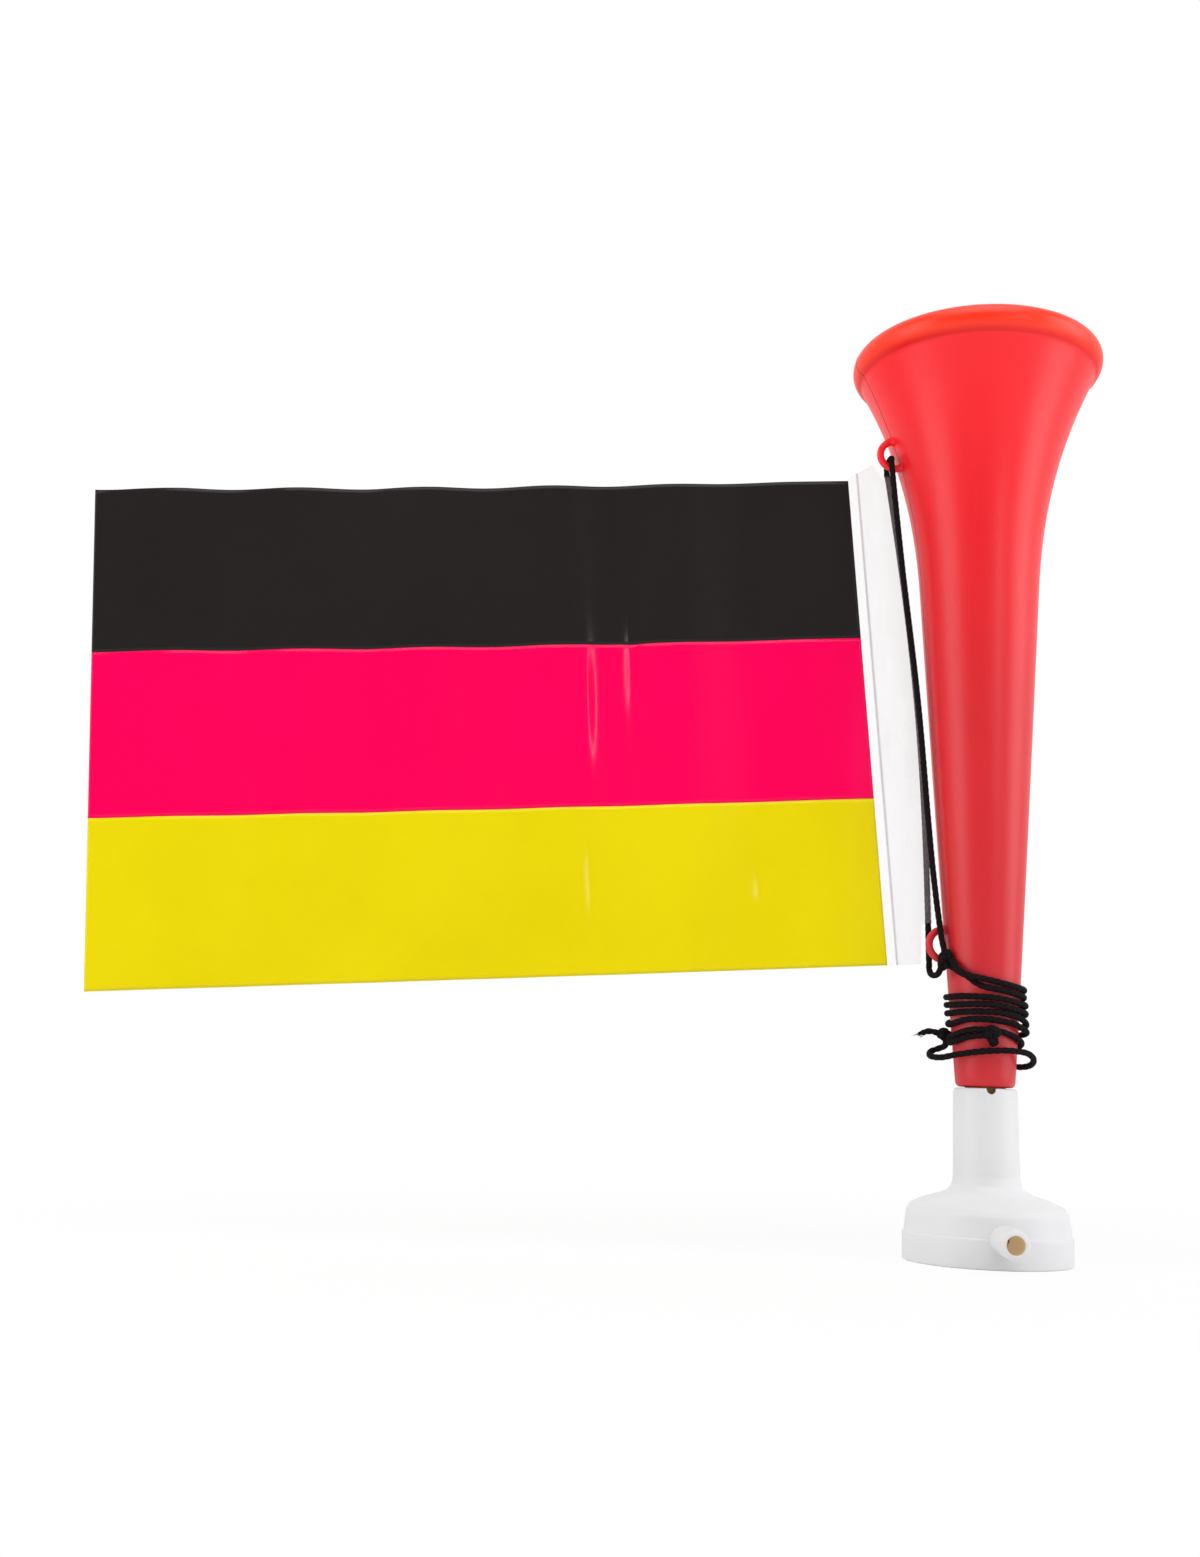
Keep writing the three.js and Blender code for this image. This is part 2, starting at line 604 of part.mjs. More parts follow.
// The hoist strand runs slack from the lower eye up to the upper one.
const HOIST_POINTS = 9;
const HOIST_STRAND = Array.from({ length: HOIST_POINTS }, (_, i) => {
  const up = hoistFootUp + ((hoistTopUp - hoistFootUp) * i) / (HOIST_POINTS - 1);
  return flagPlace(-hoistBow(up), up, 0);
});

// Colours and sheens of the real materials.
const COLOURS = {
  red: { color: 0xe83a3c, roughness: 0.42 },
  white: { color: 0xe4e4e6, roughness: 0.5 },
  tan: { color: 0xb4965f, roughness: 0.7 },
  film: { color: 0xd8d8d0, roughness: 0.3 },
  cord: { color: 0x191416, roughness: 0.85 },
  flagBlack: { color: 0x262222, roughness: 0.35 },
  flagRed: { color: 0xff0055, roughness: 0.35 },
  flagGold: { color: 0xecd912, roughness: 0.35 },
  sleeve: { color: 0xf4f0f0, roughness: 0.35 },
};

const materials = Object.fromEntries(Object.entries(COLOURS).map(([name, look]) => (
  [name, new THREE.MeshStandardMaterial({ ...look, metalness: 0 })]
)));

function piece(name, geometry, material) {
  const mesh = new THREE.Mesh(welded(geometry), materials[material]);
  mesh.name = name;
  return mesh;
}

// Horn and head stand on the axis.
const horn = new THREE.Group();
horn.add(
  piece('horn', turnedRing(hornWall()), 'red'),
  piece('sound_head', soundHead(), 'white'),
  piece('sound_tube', soundTube(), 'tan'),
  piece('blow_liner', blowLiner(), 'tan'),
  piece('diaphragm', diaphragm(), 'film'),
  piece('base_cap', baseCap(), 'white'),
);

// Eyes, cord and flag share one turned group.
const rigging = new THREE.Group();
rigging.rotation.z = FLAG_TURN_DEG * RAD;
rigging.add(
  piece('upper_eye', cordEye(upperEyeX, upperEyeZ), 'red'),
  piece('lower_eye', cordEye(lowerEyeX, LOWER_EYE_Z), 'red'),
  piece('flag_gold', flagBand(0), 'flagGold'),
  piece('flag_red', flagBand(1), 'flagRed'),
  piece('flag_black', flagBand(2), 'flagBlack'),
  piece('flag_sleeve', flagSleeve(), 'sleeve'),
  piece('cord_front_strand', cordTube(cordPath(FRONT_STRAND), 22), 'cord'),
  piece('cord_upper_turn', cordTube(cordPath(UPPER_TURN), 12), 'cord'),
  piece('cord_hoist_strand', cordTube(cordPath(HOIST_STRAND), 16), 'cord'),
  piece('cord_eye_loop', cordTube(cordPath(EYE_LOOP), 14), 'cord'),
  piece('cord_eye_knot', knotBall(EYE_KNOT, [1.9, 1.9, 2.5]), 'cord'),
  piece('cord_winding_a', cordTube(windingA, 70, 6), 'cord'),
  piece('cord_winding_b', cordTube(windingB, 68, 6), 'cord'),
  piece('cord_waist_knot', bowTurn(), 'cord'),
  piece('cord_low_turn', cordTube(cordPath(LOW_TURN), 34), 'cord'),
  piece('cord_side_hitch', knotBall([-13.1, 3.6, 76.1], [1.9, 2.2, 1.7]), 'cord'),
  piece('cord_tail', cordTube(cordPath(TAIL), 5), 'cord'),
);

console.log('least gap of winding a to itself, mm:', leastGap(windingA).toFixed(2));
console.log('least gap of winding b to itself, mm:', leastGap(windingB).toFixed(2));
console.log('least gap between the windings, mm:', leastGap(windingA, windingB).toFixed(2));

const stadiumHorn = new THREE.Group();
stadiumHorn.add(horn, rigging);

export default stadiumHorn;
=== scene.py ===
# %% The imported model
import math

import bpy
import numpy as np
from mathutils import Matrix, Vector


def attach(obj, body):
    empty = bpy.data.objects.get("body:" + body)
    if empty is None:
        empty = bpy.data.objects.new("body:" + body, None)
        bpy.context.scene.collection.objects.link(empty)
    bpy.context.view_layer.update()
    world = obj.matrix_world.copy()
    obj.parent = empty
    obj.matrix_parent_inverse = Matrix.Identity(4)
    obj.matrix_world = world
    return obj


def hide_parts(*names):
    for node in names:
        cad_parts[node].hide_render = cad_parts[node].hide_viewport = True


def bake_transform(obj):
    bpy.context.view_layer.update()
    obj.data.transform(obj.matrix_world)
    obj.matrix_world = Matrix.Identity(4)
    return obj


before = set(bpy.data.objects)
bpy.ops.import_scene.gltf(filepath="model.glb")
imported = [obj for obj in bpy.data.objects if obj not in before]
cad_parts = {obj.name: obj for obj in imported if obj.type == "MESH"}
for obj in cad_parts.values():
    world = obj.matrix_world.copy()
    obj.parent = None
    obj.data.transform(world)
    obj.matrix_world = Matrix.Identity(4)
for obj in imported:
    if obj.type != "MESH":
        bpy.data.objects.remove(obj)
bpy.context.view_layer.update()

# %% [markdown]
# Everything below is worked out in millimetres, because that is how the makers of a
# moulded horn write its drawing. Blender counts in metres, so one factor changes every
# point on its way into a mesh.

# %% Units and the photograph's frame
MM = 0.001
PHOTO_HEIGHT = 1557
FOCAL_PIXELS = 1594.1
print("picture height, pixels:", PHOTO_HEIGHT)

# %% [markdown]
# The camera stands low in front of the horn, a little to its left, and looks up.
# Its lens follows from the focal length in pixels: the sensor's long side covers the
# picture's long side. Its direction is written as a heading, a climb and a small roll.

# %% Camera
CAMERA_PLACE = Vector((-0.11298, -0.5664, 0.0527))
CAMERA_HEADING_DEG = 2.43
CAMERA_CLIMB_DEG = 11.07
CAMERA_ROLL_DEG = 1.96
SENSOR = 36.0
NEAREST_SEEN = 0.01


def new_object(name, data):
    """An object for a mesh, a lamp or the camera, linked into the scene."""
    thing = bpy.data.objects.new(name, data)
    bpy.context.scene.collection.objects.link(thing)
    return thing


camera_data = bpy.data.cameras.new("photo_camera")
camera_data.sensor_fit = "AUTO"
camera_data.sensor_width = SENSOR
camera_data.lens = FOCAL_PIXELS / PHOTO_HEIGHT * SENSOR
camera_data.clip_start = NEAREST_SEEN
camera = new_object("photo_camera", camera_data)
turn = (
    Matrix.Rotation(math.radians(CAMERA_HEADING_DEG), 4, "Z")
    @ Matrix.Rotation(math.radians(90 + CAMERA_CLIMB_DEG), 4, "X")
    @ Matrix.Rotation(math.radians(CAMERA_ROLL_DEG), 4, "Z")
)
camera.matrix_world = Matrix.Translation(CAMERA_PLACE) @ turn
bpy.context.scene.camera = camera
print("lens, mm:", round(camera_data.lens, 3))

# %% [markdown]
# A surface here is a grid: rows run along one direction of the form, columns along the
# other. Four neighbouring grid points make one face. Where the form closes on itself, as
# a tube does, the last row or column joins the first. The points go into the mesh as one
# array, which is both shorter and much faster than adding vertices one by one.

# %% Grid surfaces
def grid_quads(rows, columns, wrap_rows=False, wrap_columns=False):
    """Corner numbers of every face on a grid whose point (i, j) is number i*columns + j."""
    i = np.arange(rows if wrap_rows else rows - 1)[:, None]
    j = np.arange(columns if wrap_columns else columns - 1)[None, :]
    i_next = (i + 1) % rows
    j_next = (j + 1) % columns
    row, row_next = i * columns, i_next * columns
    corners = [row + j, row + j_next, row_next + j_next, row_next + j]
    return np.stack(corners, axis=-1).reshape(-1, 4)


def new_mesh(name, points, quads, triangles=()):
    """A smooth mesh from an array of points in millimetres and arrays of face corners."""
    triangles = np.asarray(triangles, int).reshape(-1, 3)
    corners = np.concatenate([quads.ravel(), triangles.ravel()])
    sizes = np.concatenate([np.full(len(quads), 4), np.full(len(triangles), 3)])
    starts = np.cumsum(sizes) - sizes
    mesh = bpy.data.meshes.new(name)
    mesh.vertices.add(len(points))
    mesh.vertices.foreach_set("co", (np.asarray(points) * MM).astype(np.float32).ravel())
    mesh.loops.add(len(corners))
    mesh.loops.foreach_set("vertex_index", corners.astype(np.int32))
    mesh.polygons.add(len(sizes))
    mesh.polygons.foreach_set("loop_start", starts.astype(np.int32))
    mesh.polygons.foreach_set("use_smooth", np.ones(len(sizes), bool))
    mesh.update(calc_edges=True)
    mesh.validate()
    return mesh


def give_attribute(mesh, name, values):
    """Stores a number, or a vector, on each point for a material to read."""
    kind = "FLOAT" if values.ndim == 1 else "FLOAT_VECTOR"
    slot = "value" if values.ndim == 1 else "vector"
    attribute = mesh.attributes.new(name, kind, "POINT")
    attribute.data.foreach_set(slot, values.astype(np.float32).ravel())


# %% [markdown]
# A finished mesh becomes a piece of the horn in four steps: it gets its finish, it rides on a body of the
# imported model, it names the material slot of the record that it is made of, and it hides the CAD nodes
# that it stands for. A piece that bends across the flag's hinge names no body here.

# %% Pieces
FINISH_ENDING = "_finish"


def dress(piece, material, body, nodes=()):
    """Finish, body if one is named, material slot, and the CAD nodes the piece stands for."""
    piece.data.materials.append(material)
    if body:
        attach(piece, body)
    if nodes:
        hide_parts(*nodes)
    return piece


def add_piece(mesh, material, body, nodes=()):
    """Puts a mesh in the scene as a dressed piece of its own."""
    return dress(new_object(mesh.name, mesh), material, body, nodes)


def thicken(piece, thickness):
    """Gives a sheet its thickness in millimetres, half of it to each side."""
    film = piece.modifiers.new("film", "SOLIDIFY")
    film.thickness = thickness * MM
    film.offset = 0


# %% [markdown]
# A finish is a small network of nodes round one Principled shader. Each network starts
# from the same few steps: make a node, set its values, link it. Patterns read Object
# coordinates, which stay fixed in the piece when the piece moves.

# %% Material helpers
def add_node(tree, kind, values=(), **settings):
    """One node with its settings and the values of its sockets."""
    node = tree.nodes.new(kind)
    for key, value in settings.items():
        setattr(node, key, value)
    for key, value in dict(values).items():
        node.inputs[key].default_value = value
    return node


def new_finish(slot, values):
    """A material for one slot of the record, its Principled shader and its coordinates."""
    material = bpy.data.materials.new(slot + FINISH_ENDING)
    material.use_nodes = True
    tree = material.node_tree
    shader = tree.nodes["Principled BSDF"]
    for key, value in values.items():
        shader.inputs[key].default_value = value
    coordinates = add_node(tree, "ShaderNodeTexCoord")
    return material, tree, shader, coordinates


def noise(tree, source, scale, stretch=(1, 1, 1), detail=3.0):
    """Noise in a space stretched by three factors, from 0 to 1."""
    mapping = add_node(tree, "ShaderNodeMapping", {"Scale": stretch})
    texture = add_node(tree, "ShaderNodeTexNoise", {"Scale": scale, "Detail": detail})
    tree.links.new(source, mapping.inputs["Vector"])
    tree.links.new(mapping.outputs["Vector"], texture.inputs["Vector"])
    return texture.outputs["Fac"]


def spread(tree, source, low, high, start=0.3, end=0.7):
    """Carries a pattern's middle range over to the range from low to high."""
    values = {"From Min": start, "From Max": end, "To Min": low, "To Max": high}
    node = add_node(tree, "ShaderNodeMapRange", values)
    tree.links.new(source, node.inputs["Value"])
    return node.outputs["Result"]


def two_tone(tree, share, first, second):
    """A colour between two, by a share from 0 to 1. The first may be another mix's result."""
    mix = add_node(tree, "ShaderNodeMix", data_type="RGBA")
    if isinstance(first, tuple):
        mix.inputs["A"].default_value = (*first, 1)
    else:
        tree.links.new(first, mix.inputs["A"])
    mix.inputs["B"].default_value = (*second, 1)
    tree.links.new(share, mix.inputs["Factor"])
    return mix.outputs["Result"]


def add_bump(tree, shader, height, distance, strength=1.0):
    """Turns a pattern into small relief; the distance is in metres."""
    bump = add_node(tree, "ShaderNodeBump", {"Distance": distance, "Strength": strength})
    tree.links.new(height, bump.inputs["Height"])
    tree.links.new(bump.outputs["Normal"], shader.inputs["Normal"])


# %% [markdown]
# The cord is a round braid of dark polyester, 2.2 mm thick over its crowns, and limp. A braid could be drawn
# with a bump texture alone, but its knobbly edge shows in outline, so the tube's own radius carries it: two
# families of ribs cross at a steep angle, one climbing each way round. The finish then adds what is finer
# than that, the single yarns and a paler tone on the crowns.

# %% Braided cord finish
CORD_DARK = (0.0022, 0.0016, 0.0018)
# A paler tone for the braid's crowns.
CORD_CROWN_TONE = (0.016, 0.010, 0.013)
YARN_PATTERN = 2.2
YARN_STRETCH = (3.0, 3.0, 0.9)
YARN_RELIEF = 0.00012


def braid_finish():
    """Dark yarns, a little paler on their crowns, and dull all over."""
    values = {"Roughness": 0.85, "Specular IOR Level": 0.12}
    material, tree, shader, _ = new_finish("black_cord", values)
    weave = add_node(tree, "ShaderNodeAttribute", attribute_name="weave")
    crown = add_node(tree, "ShaderNodeAttribute", attribute_name="crown")
    yarns = noise(tree, weave.outputs["Vector"], YARN_PATTERN, YARN_STRETCH, detail=4.0)
    crown_tone_share = add_node(tree, "ShaderNodeMath", operation="MULTIPLY")
    tree.links.new(crown.outputs["Fac"], crown_tone_share.inputs[0])
    tree.links.new(spread(tree, yarns, 0.2, 1.0), crown_tone_share.inputs[1])
    tone = two_tone(tree, crown_tone_share.outputs["Value"], CORD_DARK, CORD_CROWN_TONE)
    tree.links.new(tone, shader.inputs["Base Color"])
    add_bump(tree, shader, yarns, YARN_RELIEF, 0.8)
    return material


black_cord = braid_finish()
print("made", black_cord.name)

# %% [markdown]
# A cord's route is a few points joined by a smooth curve. This curve weighs each stretch
# by the square root of its length, so a tight turn beside a long straight doesn't
# overshoot. The tube is swept along it with one fixed direction to measure the section
# from, which keeps the braid from twisting on its own.

# %% Routes and swept tubes
CORD_RADIUS = 1.1
BRAID_SIDES = 24
BRAID_STEP = 0.2
BRAID_RIBS = 4
BRAID_PITCH = 2.5
BRAID_DEPTH = 0.28
END_BLUNTNESS = 0.15
STEPS_PER_STRETCH = 40


def smooth_route(points, spacing):
    """A centripetal Catmull-Rom curve through points, resampled at even spacing.

    Each stretch is a cubic whose end slopes come from the neighbouring points, weighed
    by the square root of the distances between them.
    """
    points = np.asarray(points, float)
    ends = [2 * points[:1] - points[1:2], points, 2 * points[-1:] - points[-2:-1]]
    p = np.concatenate(ends)
    d = np.linalg.norm(np.diff(p, axis=0), axis=1)[:, None] ** 0.5
    before, here, after = d[:-2], d[1:-1], d[2:]
    a, b, c, e = p[:-3], p[1:-2], p[2:-1], p[3:]
    slope_in = ((b - a) / before - (c - a) / (before + here) + (c - b) / here) * here
    slope_out = ((c - b) / here - (e - b) / (here + after) + (e - c) / after) * here
    t = np.linspace(0, 1, STEPS_PER_STRETCH, endpoint=False)[None, :, None]
    b, c, slope_in, slope_out = (x[:, None, :] for x in (b, c, slope_in, slope_out))
    curve = (
        b
        + slope_in * t
        + (3 * (c - b) - 2 * slope_in - slope_out) * t**2
        + (2 * (b - c) + slope_in + slope_out) * t**3
    )
    curve = np.concatenate([curve.reshape(-1, 3), points[-1:]])
    return even_spacing(curve, spacing)


def distance_along(route):
    """How far along its route each point lies, in millimetres."""
    return np.concatenate([[0], np.cumsum(np.linalg.norm(np.diff(route, axis=0), axis=1))])


def even_spacing(curve, spacing):
    """The same curve with points one spacing apart."""
    along = distance_along(curve)
    stops = np.linspace(0, along[-1], max(4, int(round(along[-1] / spacing)) + 1))
    return np.stack([np.interp(stops, along, curve[:, k]) for k in range(3)], axis=1)


def route_length(route):
    """Sum of the distances between neighbouring points, in millimetres."""
    return float(np.linalg.norm(np.diff(route, axis=0), axis=1).sum())


def tube_rings(route, radius, reference):
    """Rings of points round a route, measured from a fixed reference direction.

    Point (i, j) is route(i) + radius(i, j) * (across * cos(angle) + up * sin(angle)),
    where across is square to the route and to the reference, and up to both.
    """
    tangent = np.gradient(route, axis=0)
    tangent /= np.linalg.norm(tangent, axis=1)[:, None]
    across = np.cross(np.asarray(reference, float), tangent)
    across /= np.linalg.norm(across, axis=1)[:, None]
    up = np.cross(tangent, across)
    angle = np.linspace(0, 2 * np.pi, radius.shape[1], endpoint=False)[None, :, None]
    sideways = across[:, None, :] * np.cos(angle) + up[:, None, :] * np.sin(angle)
    return route[:, None, :] + radius[:, :, None] * sideways


def capped_tube(name, rings):
    """A tube's mesh from its rings, closed by a fan of triangles at each end."""
    rows, columns, _ = rings.shape
    middles = [rings[0].mean(0)[None], rings[-1].mean(0)[None]]
    points = np.concatenate([rings.reshape(-1, 3), *middles])
    j = np.arange(columns)
    j_next = (j + 1) % columns
    start = np.stack([np.full(columns, rows * columns), j_next, j], axis=1)
    last = (rows - 1) * columns
    end = np.stack([np.full(columns, rows * columns + 1), last + j, last + j_next], axis=1)
    return new_mesh(name, points, grid_quads(rows, columns, wrap_columns=True), [start, end])


def braided_tube(name, route, reference, thickness=1.0):
    """A tube whose radius rises where two crossing families of ribs pass over.

    radius = R * (1 - depth / 2 + depth / 2 * crown), where crown is the larger of
    cos(n*angle + k*s) and cos(n*angle - k*s), with s the distance along and k one turn of
    pattern for each pitch. Both ends are rounded off like a ball.
    """
    along = distance_along(route)[:, None]
    angle = np.linspace(0, 2 * np.pi, BRAID_SIDES, endpoint=False)[None, :]
    wave = 2 * np.pi * along / BRAID_PITCH
    crown = np.maximum(np.cos(BRAID_RIBS * angle + wave), np.cos(BRAID_RIBS * angle - wave))
    end = np.minimum(along, along[-1] - along) / CORD_RADIUS
    rounding = np.sqrt(1 - (1 - np.clip(end, END_BLUNTNESS, 1)) ** 2)
    radius = thickness * CORD_RADIUS * (1 - BRAID_DEPTH / 2 + BRAID_DEPTH / 2 * crown) * rounding
    mesh = capped_tube(name, tube_rings(route, radius, reference))
    turns = np.stack(np.broadcast_arrays(np.cos(angle), np.sin(angle), along), axis=-1)
    turns = turns.reshape(-1, 3)
    give_attribute(mesh, "weave", np.concatenate([turns, turns[:1], turns[-1:]]))
    crowns = (0.5 + 0.5 * crown).ravel()
    give_attribute(mesh, "crown", np.concatenate([crowns, crowns[:1], crowns[-1:]]))
    return mesh


# %% [markdown]
# The horn's outline is needed before the cords, because they lie on its stem. Its outer
# radius is a slow power curve, which makes the long taper, plus a second one in the top
# third, which makes the flare.

# %% Horn outline
HORN_TOP_Z = 330.0
HORN_FOOT_Z = 58.2
LIP_RADIUS = 45.9
LIP_ROLL_RADIUS = 5.6
LIP_START_DEG = -60
LIP_CENTRE_RADIUS = LIP_RADIUS - LIP_ROLL_RADIUS
LIP_CENTRE_Z = HORN_TOP_Z - LIP_ROLL_RADIUS
FLARE_TOP_Z = LIP_CENTRE_Z + LIP_ROLL_RADIUS * math.sin(math.radians(LIP_START_DEG))
FLARE_TOP_RADIUS = LIP_CENTRE_RADIUS + LIP_ROLL_RADIUS * math.cos(math.radians(LIP_START_DEG))
FLARE_HEIGHT = 83.5
STEM_FOOT_RADIUS = 10.05
STEM_SPREAD = 16.15
STEM_BOW = 0.94
FLARE_SPREAD = FLARE_TOP_RADIUS - STEM_FOOT_RADIUS - STEM_SPREAD
FLARE_BOW = 2.23


def horn_radius(z):
    """Foot radius + spread * (share of height)^0.94 + flare * (share of flare)^2.23."""
    z = np.asarray(z, float)
    along = np.clip((z - HORN_FOOT_Z) / (FLARE_TOP_Z - HORN_FOOT_Z), 0, None)
    flare = np.clip((z - FLARE_TOP_Z + FLARE_HEIGHT) / FLARE_HEIGHT, 0, None)
    return STEM_FOOT_RADIUS + STEM_SPREAD * along**STEM_BOW + FLARE_SPREAD * flare**FLARE_BOW


print("flare starts at, mm:", round(FLARE_TOP_Z - FLARE_HEIGHT, 1))

# %% [markdown]
# Eyes, cord and flag share one frame that is turned a few degrees about the horn's axis.
# Their places are written in that frame, where the flag lies along X, and turned at the
# end. Places on the stem are given by azimuth and height, which is how a cord that winds
# round a cone is thought of. Places on the flag are given by how far out from the hoist
# and how far up they are. The hoist leans with the flag, and its strand hangs a little
# slack, so it bows towards the horn between the eyes.

# %% The flag group's frame
FLAG_TURN = math.radians(5.9)
CORD_GAP = 0.13


def turn_group(points):
    """Turns points of the flag group about Z into the horn's own frame."""
    x, y, z = np.moveaxis(np.asarray(points, float), -1, 0)
    cos, sin = math.cos(FLAG_TURN), math.sin(FLAG_TURN)
    return np.stack([x * cos - y * sin, x * sin + y * cos, z], axis=-1)


def round_stem(azimuth_deg, z, lift=0.0):
    """A point on the cord's centre where it lies on the stem."""
    azimuth = np.radians(azimuth_deg)
    z = np.asarray(z, float)
    radius = horn_radius(z) + CORD_RADIUS + CORD_GAP + lift
    return np.stack([radius * np.cos(azimuth), radius * np.sin(azimuth), z], axis=-1)


HOIST_LEAN = math.radians(4.6684)
HOIST_FOOT = np.array([-19.005, 3.4, 108.0])
HOIST_LOW_UP = -5.2
HOIST_HIGH_UP = 173.65
HOIST_SLACK = 3.6


def flag_place(out, up, depth):
    """A place on the flag: hoist foot - out * outwards - up * lean, with depth to the back."""
    out, up, depth = np.broadcast_arrays(out, up, depth)
    x = HOIST_FOOT[0] - out * math.cos(HOIST_LEAN) - up * math.sin(HOIST_LEAN)
    z = HOIST_FOOT[2] + up * math.cos(HOIST_LEAN) - out * math.sin(HOIST_LEAN)
    return np.stack([x, HOIST_FOOT[1] + depth, z], axis=-1)


def hoist_bow(up):
    """How far the slack strand bows towards the horn: slack * sin(pi * share of height)."""
    share = np.clip((up - HOIST_LOW_UP) / (HOIST_HIGH_UP - HOIST_LOW_UP), 0, 1)
    return HOIST_SLACK * np.sin(np.pi * share)


print("hoist strand, mm:", round(HOIST_HIGH_UP - HOIST_LOW_UP, 1), "tall")

# %% [markdown]
# One cord does all the work. It goes up inside the flag's sleeve, over the upper eye and
# straight down in front to a knot at the lower eye. From there both ends wind round the
# stem, are tied at its waist, and one last slack turn hangs below with the frayed end.
# It is made as a few tubes, because each stretch bends about a different axis. Loose
# stretches are lists of x, y and z. Stretches on the stem are lists of azimuth, height
# and how far the cord lifts off the wall where it crosses another turn.

# %% Routes of the cord
FRONT_STRAND = [
    (-33.0, 3.4, 279.4), (-33.3, 3.4, 281.2), (-33.55, 3.4, 283.2), (-33.4, 3, 285), (-33.1, 1.8, 286.5),
    (-32.9, 0, 287), (-32.95, -1.7, 286.6), (-33.1, -2.65, 285.6), (-33.15, -2.9, 284.4), (-32.8, -2.9, 280),
    (-29.2, -2.95, 243), (-23.6, -3, 192.4), (-20.3, -3, 151.2), (-18.9, -3, 135), (-17.4, -3.05, 121),
    (-16.4, -3.2, 113), (-15.9, -3.7, 108.5), (-15.3, -4.1, 105.2), (-15.1, -4.4, 103), (-14.9, -4.5, 101.4),
]
EYE_LOOP = [
    (-18.75, 3.4, 104.8), (-18.6, 3.4, 102.8), (-18.5, 3.4, 100.6), (-18.6, 3.1, 98.6), (-18.4, 1.9, 96.9),
    (-17.8, -0.3, 96.1), (-17.2, -2.4, 96.4), (-16.9, -3.9, 97.3), (-16.5, -4.4, 98.6), (-15.6, -4.5, 100.6),
]
LOW_TURN = [
    (-13.3, 3.8, 76.2), (-12.6, 4.2, 74.2), (-12.5, 5.2, 72.3), (-14, 7.4, 71.3), (-16.3, 8, 70.4),
    (-18.1, 5.4, 69.2), (-18.3, 1.6, 68.2), (-16.1, -2.8, 67.9), (-12.1, -7.3, 68.9), (-6.4, -11.3, 69.9),
    (0, -13.3, 70.5), (5.9, -13.1, 70.6), (11.5, -10.8, 70.0), (15.1, -6.3, 68.3), (16.0, -0.7, 66.4),
    (14.0, 5.1, 65.7), (9.6, 9.4, 66.6), (3.4, 12.4, 68.5), (-2.9, 12.6, 70), (-8.1, 10.6, 71.4),
]
TAIL = [(-13.6, 3.7, 76.3), (-15.5, 3.9, 76.5), (-17.2, 4.2, 76.9), (-19, 4.5, 76.9), (-21.2, 4.9, 76.1)]
WAIST_RETURN = [
    (-182, 72.9, 0.2), (-166, 73.4, 0.1), (-152, 73.9, 0), (-137, 74.8, 0), (-120, 75.4, 0),
    (-100, 75.4, 0.6),
]
WAIST = [
    (-200, 74, 0), (-178, 74.8, 0), (-166, 75.4, 0), (-156, 75.9, 0), (-137, 77, 0), (-121, 77.5, 0),
    (-97, 77.2, 0), (-78, 76.8, 0), (-49, 75.1, 0), (-18, 73.6, 0), (-2, 72.8, 0), (16, 72.2, 0),
    (34, 71.8, 0),
]
WINDING_A = [
    (-163, 101.5, 1), (-158, 101.2, 0.7), (-153, 100.9, 0.5), (-143, 98.7, 1.9), (-131, 96.4, 2.5),
    (-119, 95.2, 1.8), (-106, 94.6, 0.3), (-88, 93.7, 0), (-64, 92.7, 0), (-18, 91.7, 0), (39, 90.9, 0),
    (84, 90.2, 0), (134, 89.4, 0), (189, 88.7, 0), (217, 88.8, 0), (254, 88.5, 0), (272, 88.2, 0),
    (296, 87.5, 0), (341, 86.4, 0.7), (399, 85.4, 0.2), (444, 84.7, 0), (494, 83.9, 0), (545, 83.1, 0),
    (566, 83.3, 0), (585, 83.5, 0), (614, 83.5, 0), (638, 83.3, 0), (671, 82.1, 0.5), (701, 79.8, 1.3),
    (759, 79, 0.6), (804, 78.3, 0), (841, 77.6, 0),
]
WINDING_B = [
    (-163, 99.9, 1), (-158, 99.2, 0.6), (-153, 98.5, 0), (-143, 97, 0), (-131, 95.6, 0), (-119, 93.4, 0),
    (-106, 91.9, 0), (-88, 91.2, 0), (-64, 90.35, 0), (-18, 89.2, 0), (39, 88.3, 0), (84, 87.6, 0),
    (134, 86.7, 0), (188, 86, 0), (217, 86, 0), (236, 86.1, 0), (263, 86, 0), (292, 85.1, 0),
    (341, 83.6, 0.9), (399, 82.6, 0.3), (444, 81.8, 0), (494, 80.7, 0), (547, 79.3, 0), (565, 79.9, 0),
    (584, 80.8, 0), (605, 80.95, 0), (623, 80.85, 0), (653, 80.1, 0), (665, 79.4, 0.7), (701, 77.2, 1.5),
    (759, 76.2, 0.6), (805, 75.6, 0),
]
print("points chosen on the stem:", len(WINDING_A) + len(WINDING_B) + len(WAIST) + len(WAIST_RETURN))

# %% [markdown]
# Each stretch is swept with its own fixed direction, one that the stretch never runs
# along. Most stretches stand for the CAD node of the same name. The front strand takes
# the turn over the upper eye with it, and two strands and a lump at the waist have none.

